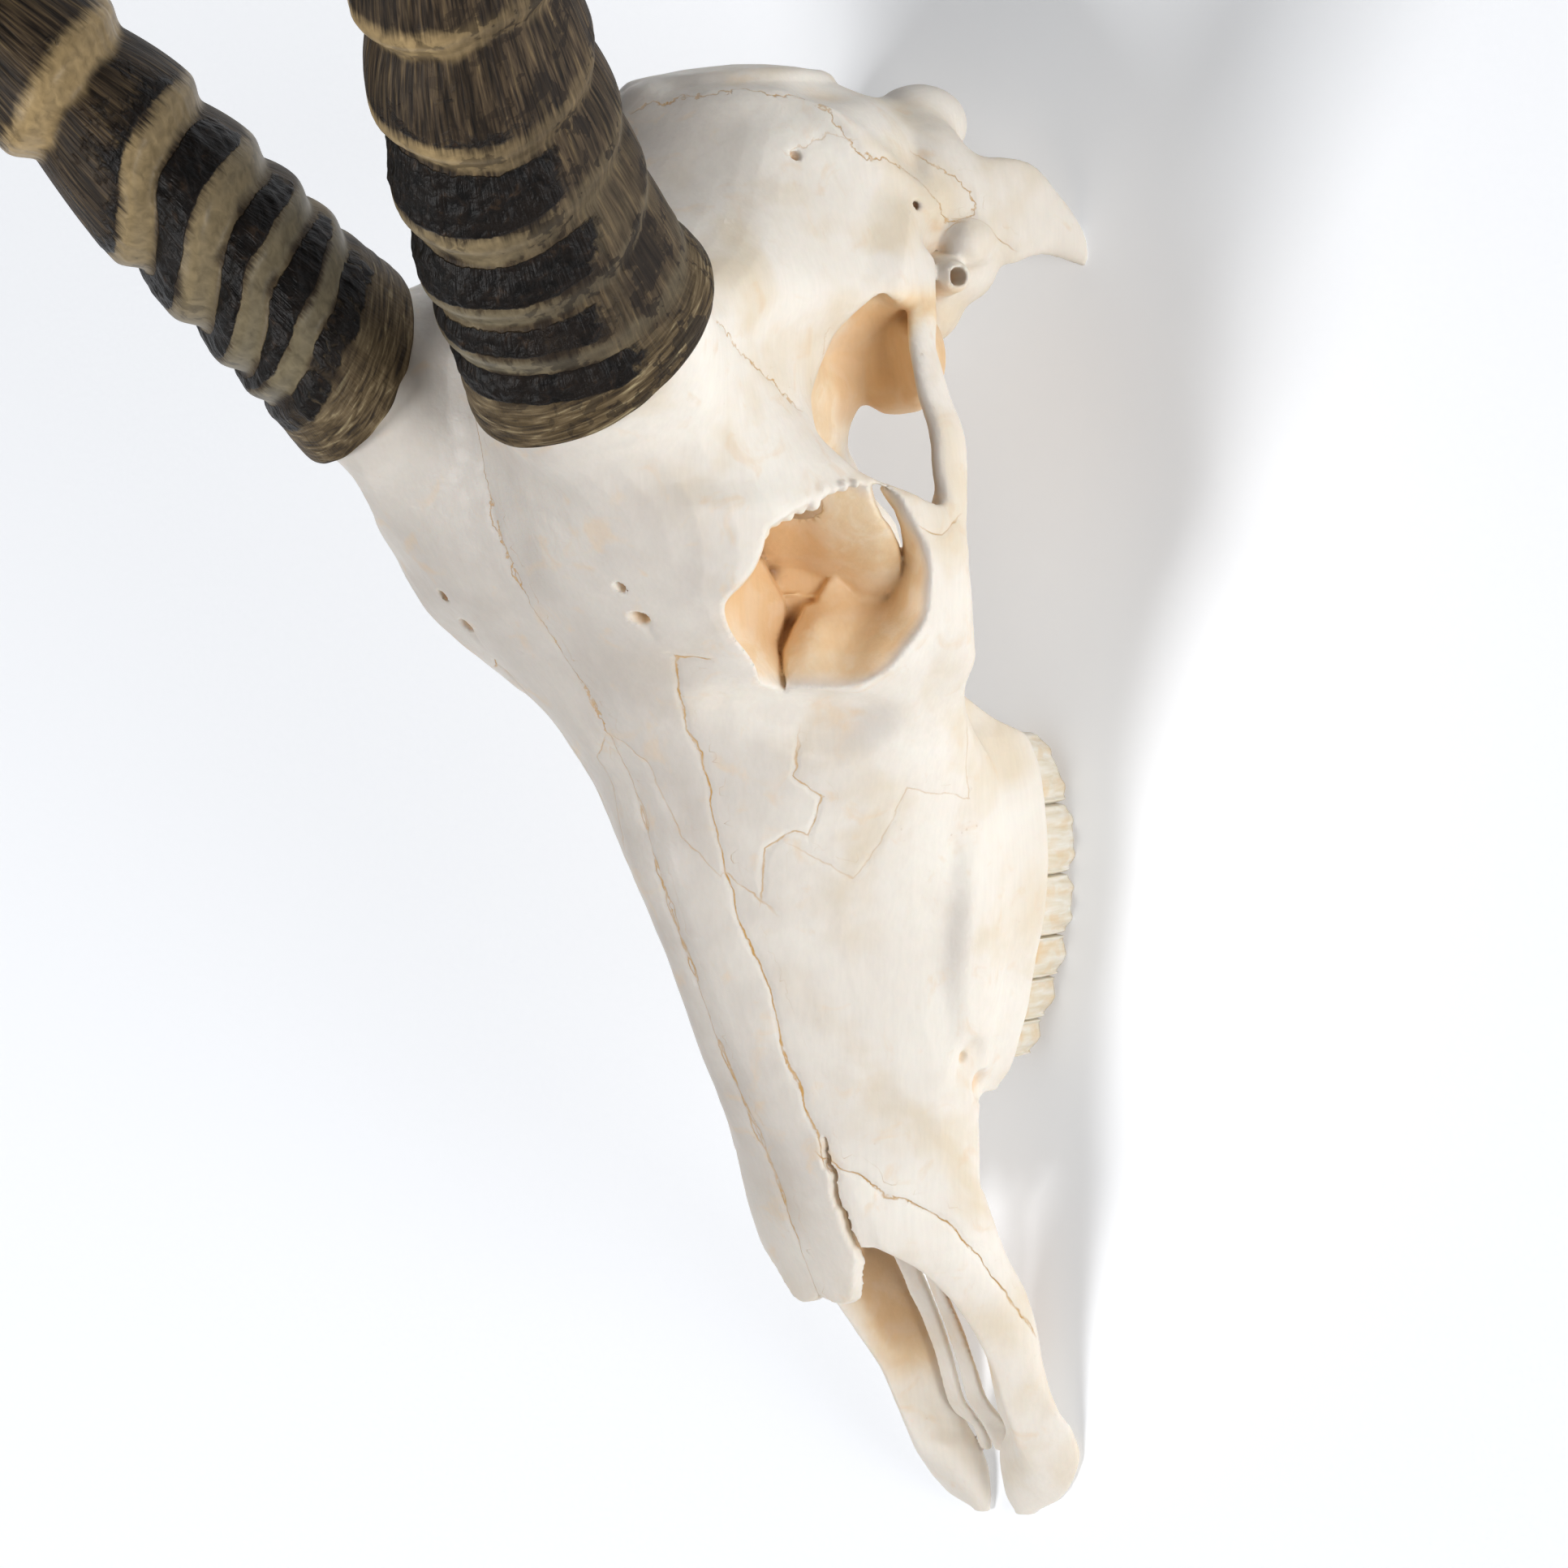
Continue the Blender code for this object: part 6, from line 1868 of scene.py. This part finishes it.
class BlesbokTeeth(bpy.types.PropertyGroup):
    enamel_colour: FloatVectorProperty(
        name="Enamel", description="Commonest colour of the enamel", default=linear("#E3DBCA"), subtype="COLOR"
    )


class BlesbokStage(bpy.types.PropertyGroup):
    floor_side: FloatProperty(
        name="Floor", description="Length of the floor's side", default=8.0, min=1.0, unit="LENGTH", subtype="DISTANCE"
    )
    floor_colour: FloatVectorProperty(
        name="Floor colour", description="Colour of the paper floor", default=linear("#EEF0F4"), subtype="COLOR"
    )
    key_power: FloatProperty(
        name="Key light", description="Power of the large soft light", default=38.0, min=0.0, unit="POWER"
    )
    fill_power: FloatProperty(
        name="Fill light", description="Power of the weaker light beside the skull", default=20.0, min=0.0, unit="POWER"
    )
    room_strength: FloatProperty(
        name="Room", description="Strength of the light from all round", default=0.15, min=0.0
    )


class BLESBOK_OT_bone(bpy.types.Operator):
    """Builds the cranium from its distance field"""

    bl_idname = "blesbok.bone"
    bl_label = "Build the cranium"

    def execute(self, context):
        settings = context.scene.blesbok_bone
        points, quads, solid, skin, axes = bone_mesh(settings.step / MM)
        obj = mesh_object("bone_cranium", to_metres(points), quads, bone_material(settings))
        thin_mesh(obj, settings.triangles)
        bone_colours(obj, solid, skin, axes)
        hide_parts("cranium")
        return {"FINISHED"}


class BLESBOK_OT_horns(bpy.types.Operator):
    """Builds both ringed horn sheaths"""

    bl_idname = "blesbok.horns"
    bl_label = "Build the horns"

    def execute(self, context):
        material = horn_material(context.scene.blesbok_horns)
        for side, sign, crests, tar, seed in (
            ("left", 1, LEFT_CRESTS, LEFT_TAR, 31),
            ("right", -1, RIGHT_CRESTS, RIGHT_TAR, 57),
        ):
            obj = build_horn("sheath_" + side, sign, crests, tar, seed, material)
            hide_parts("horn_" + side)
        return {"FINISHED"}


class BLESBOK_OT_teeth(bpy.types.Operator):
    """Builds the twelve upper cheek teeth"""

    bl_idname = "blesbok.teeth"
    bl_label = "Build the cheek teeth"

    def execute(self, context):
        material = enamel_material(context.scene.blesbok_teeth)
        for side, sign in (("left", 1), ("right", -1)):
            for spec in TEETH:
                obj = build_tooth(spec, side, sign, material)
                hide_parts(spec[0] + "_" + side)
        return {"FINISHED"}


def place_light(context, name, place, size, power):
    light = bpy.data.lights.new(name, "AREA")
    light.size = size
    light.energy = power
    obj = bpy.data.objects.new(name, light)
    target = Vector((0.0, -0.08, 0.08))
    obj.rotation_euler = (target - Vector(place)).to_track_quat("-Z", "Y").to_euler()
    obj.location = place
    context.scene.collection.objects.link(obj)


# Matt white paper, pressed from short fibres: it scatters all light alike and shows only a soft shadow. It also has a
# painted glow, faint and bluish-white, that lifts the floor towards white, tints its shadow blue and lights the skull
# from below.
def paper_material(settings):
    material, tree = new_material("matt white paper")
    coords = add_node(tree, "ShaderNodeTexCoord").outputs["Object"]
    fibres = add_node(tree, "ShaderNodeTexNoise", {"Vector": coords, "Scale": 1 / 0.0012, "Detail": 3.0}).outputs[0]
    shade = add_node(
        tree,
        "ShaderNodeValToRGB",
        {0: fibres},
        [(0.35, tuple(0.97 * part for part in settings.floor_colour)), (0.65, tuple(settings.floor_colour))],
    ).outputs[0]
    # Painted glow: a faint bluish-white emission on the paper.
    shader = add_node(
        tree,
        "ShaderNodeBsdfPrincipled",
        {"Base Color": shade, "Roughness": 0.95, "Emission Color": (0.93, 0.96, 1.0, 1.0), "Emission Strength": 0.28},
    )
    add_node(tree, "ShaderNodeOutputMaterial", {"Surface": shader.outputs["BSDF"]})
    return material


class BLESBOK_OT_stage(bpy.types.Operator):
    """Sets out the floor, the soft lights and the camera"""

    bl_idname = "blesbok.stage"
    bl_label = "Set the stage"

    def execute(self, context):
        settings = context.scene.blesbok_stage
        half = settings.floor_side / 2
        corners = np.array([(-half, -half, 0), (half, -half, 0), (half, half, 0), (-half, half, 0)])
        floor = mesh_object("paper_floor", corners, np.array([[0, 1, 2, 3]]), paper_material(settings), None)
        eye = to_metres([CAMERA_EYE])[0]
        camera = bpy.data.cameras.new("camera")
        camera.sensor_width = 36.0
        camera.lens = CAMERA_LENS
        camera.dof.use_dof = False
        camera.clip_start = 0.05
        view = bpy.data.objects.new("camera", camera)
        rows = zip(CAMERA_RIGHT, CAMERA_UP, CAMERA_BACK, eye)
        view.matrix_world = Matrix([*rows, (0, 0, 0, 1)])
        context.scene.collection.objects.link(view)
        context.scene.camera = view
        world = bpy.data.worlds.new("pale room")
        world.use_nodes = True
        world.node_tree.nodes["Background"].inputs["Color"].default_value = (1, 1, 1, 1)
        world.node_tree.nodes["Background"].inputs["Strength"].default_value = settings.room_strength
        context.scene.world = world
        place_light(context, "key", (-0.8, -0.85, 2.2), 0.8, settings.key_power)
        place_light(context, "fill", (1.8, -0.3, 0.39), 0.72, settings.fill_power)
        context.scene.view_settings.view_transform = "Standard"
        return {"FINISHED"}


class BLESBOK_PT_panel(bpy.types.Panel):
    bl_idname = "BLESBOK_PT_panel"
    bl_label = "Blesbok skull"
    bl_space_type = "VIEW_3D"
    bl_region_type = "UI"
    bl_category = "Skull"

    def draw(self, context):
        for operator, group in STEPS:
            box = self.layout.box()
            box.operator(operator.bl_idname)
            settings = getattr(context.scene, operator.bl_idname.replace(".", "_"))
            for name in group.__annotations__:
                box.prop(settings, name)


STEPS = (
    (BLESBOK_OT_bone, BlesbokBone),
    (BLESBOK_OT_horns, BlesbokHorns),
    (BLESBOK_OT_teeth, BlesbokTeeth),
    (BLESBOK_OT_stage, BlesbokStage),
)


def register():
    for operator, group in STEPS:
        bpy.utils.register_class(group)
        bpy.utils.register_class(operator)
        setattr(bpy.types.Scene, operator.bl_idname.replace(".", "_"), PointerProperty(type=group))
    bpy.utils.register_class(BLESBOK_PT_panel)


def unregister():
    bpy.utils.unregister_class(BLESBOK_PT_panel)
    for operator, group in reversed(STEPS):
        delattr(bpy.types.Scene, operator.bl_idname.replace(".", "_"))
        bpy.utils.unregister_class(operator)
        bpy.utils.unregister_class(group)


def main():
    register()
    bpy.ops.blesbok.bone()
    bpy.ops.blesbok.horns()
    bpy.ops.blesbok.teeth()
    bpy.ops.blesbok.stage()


if __name__ == "__main__":
    main()
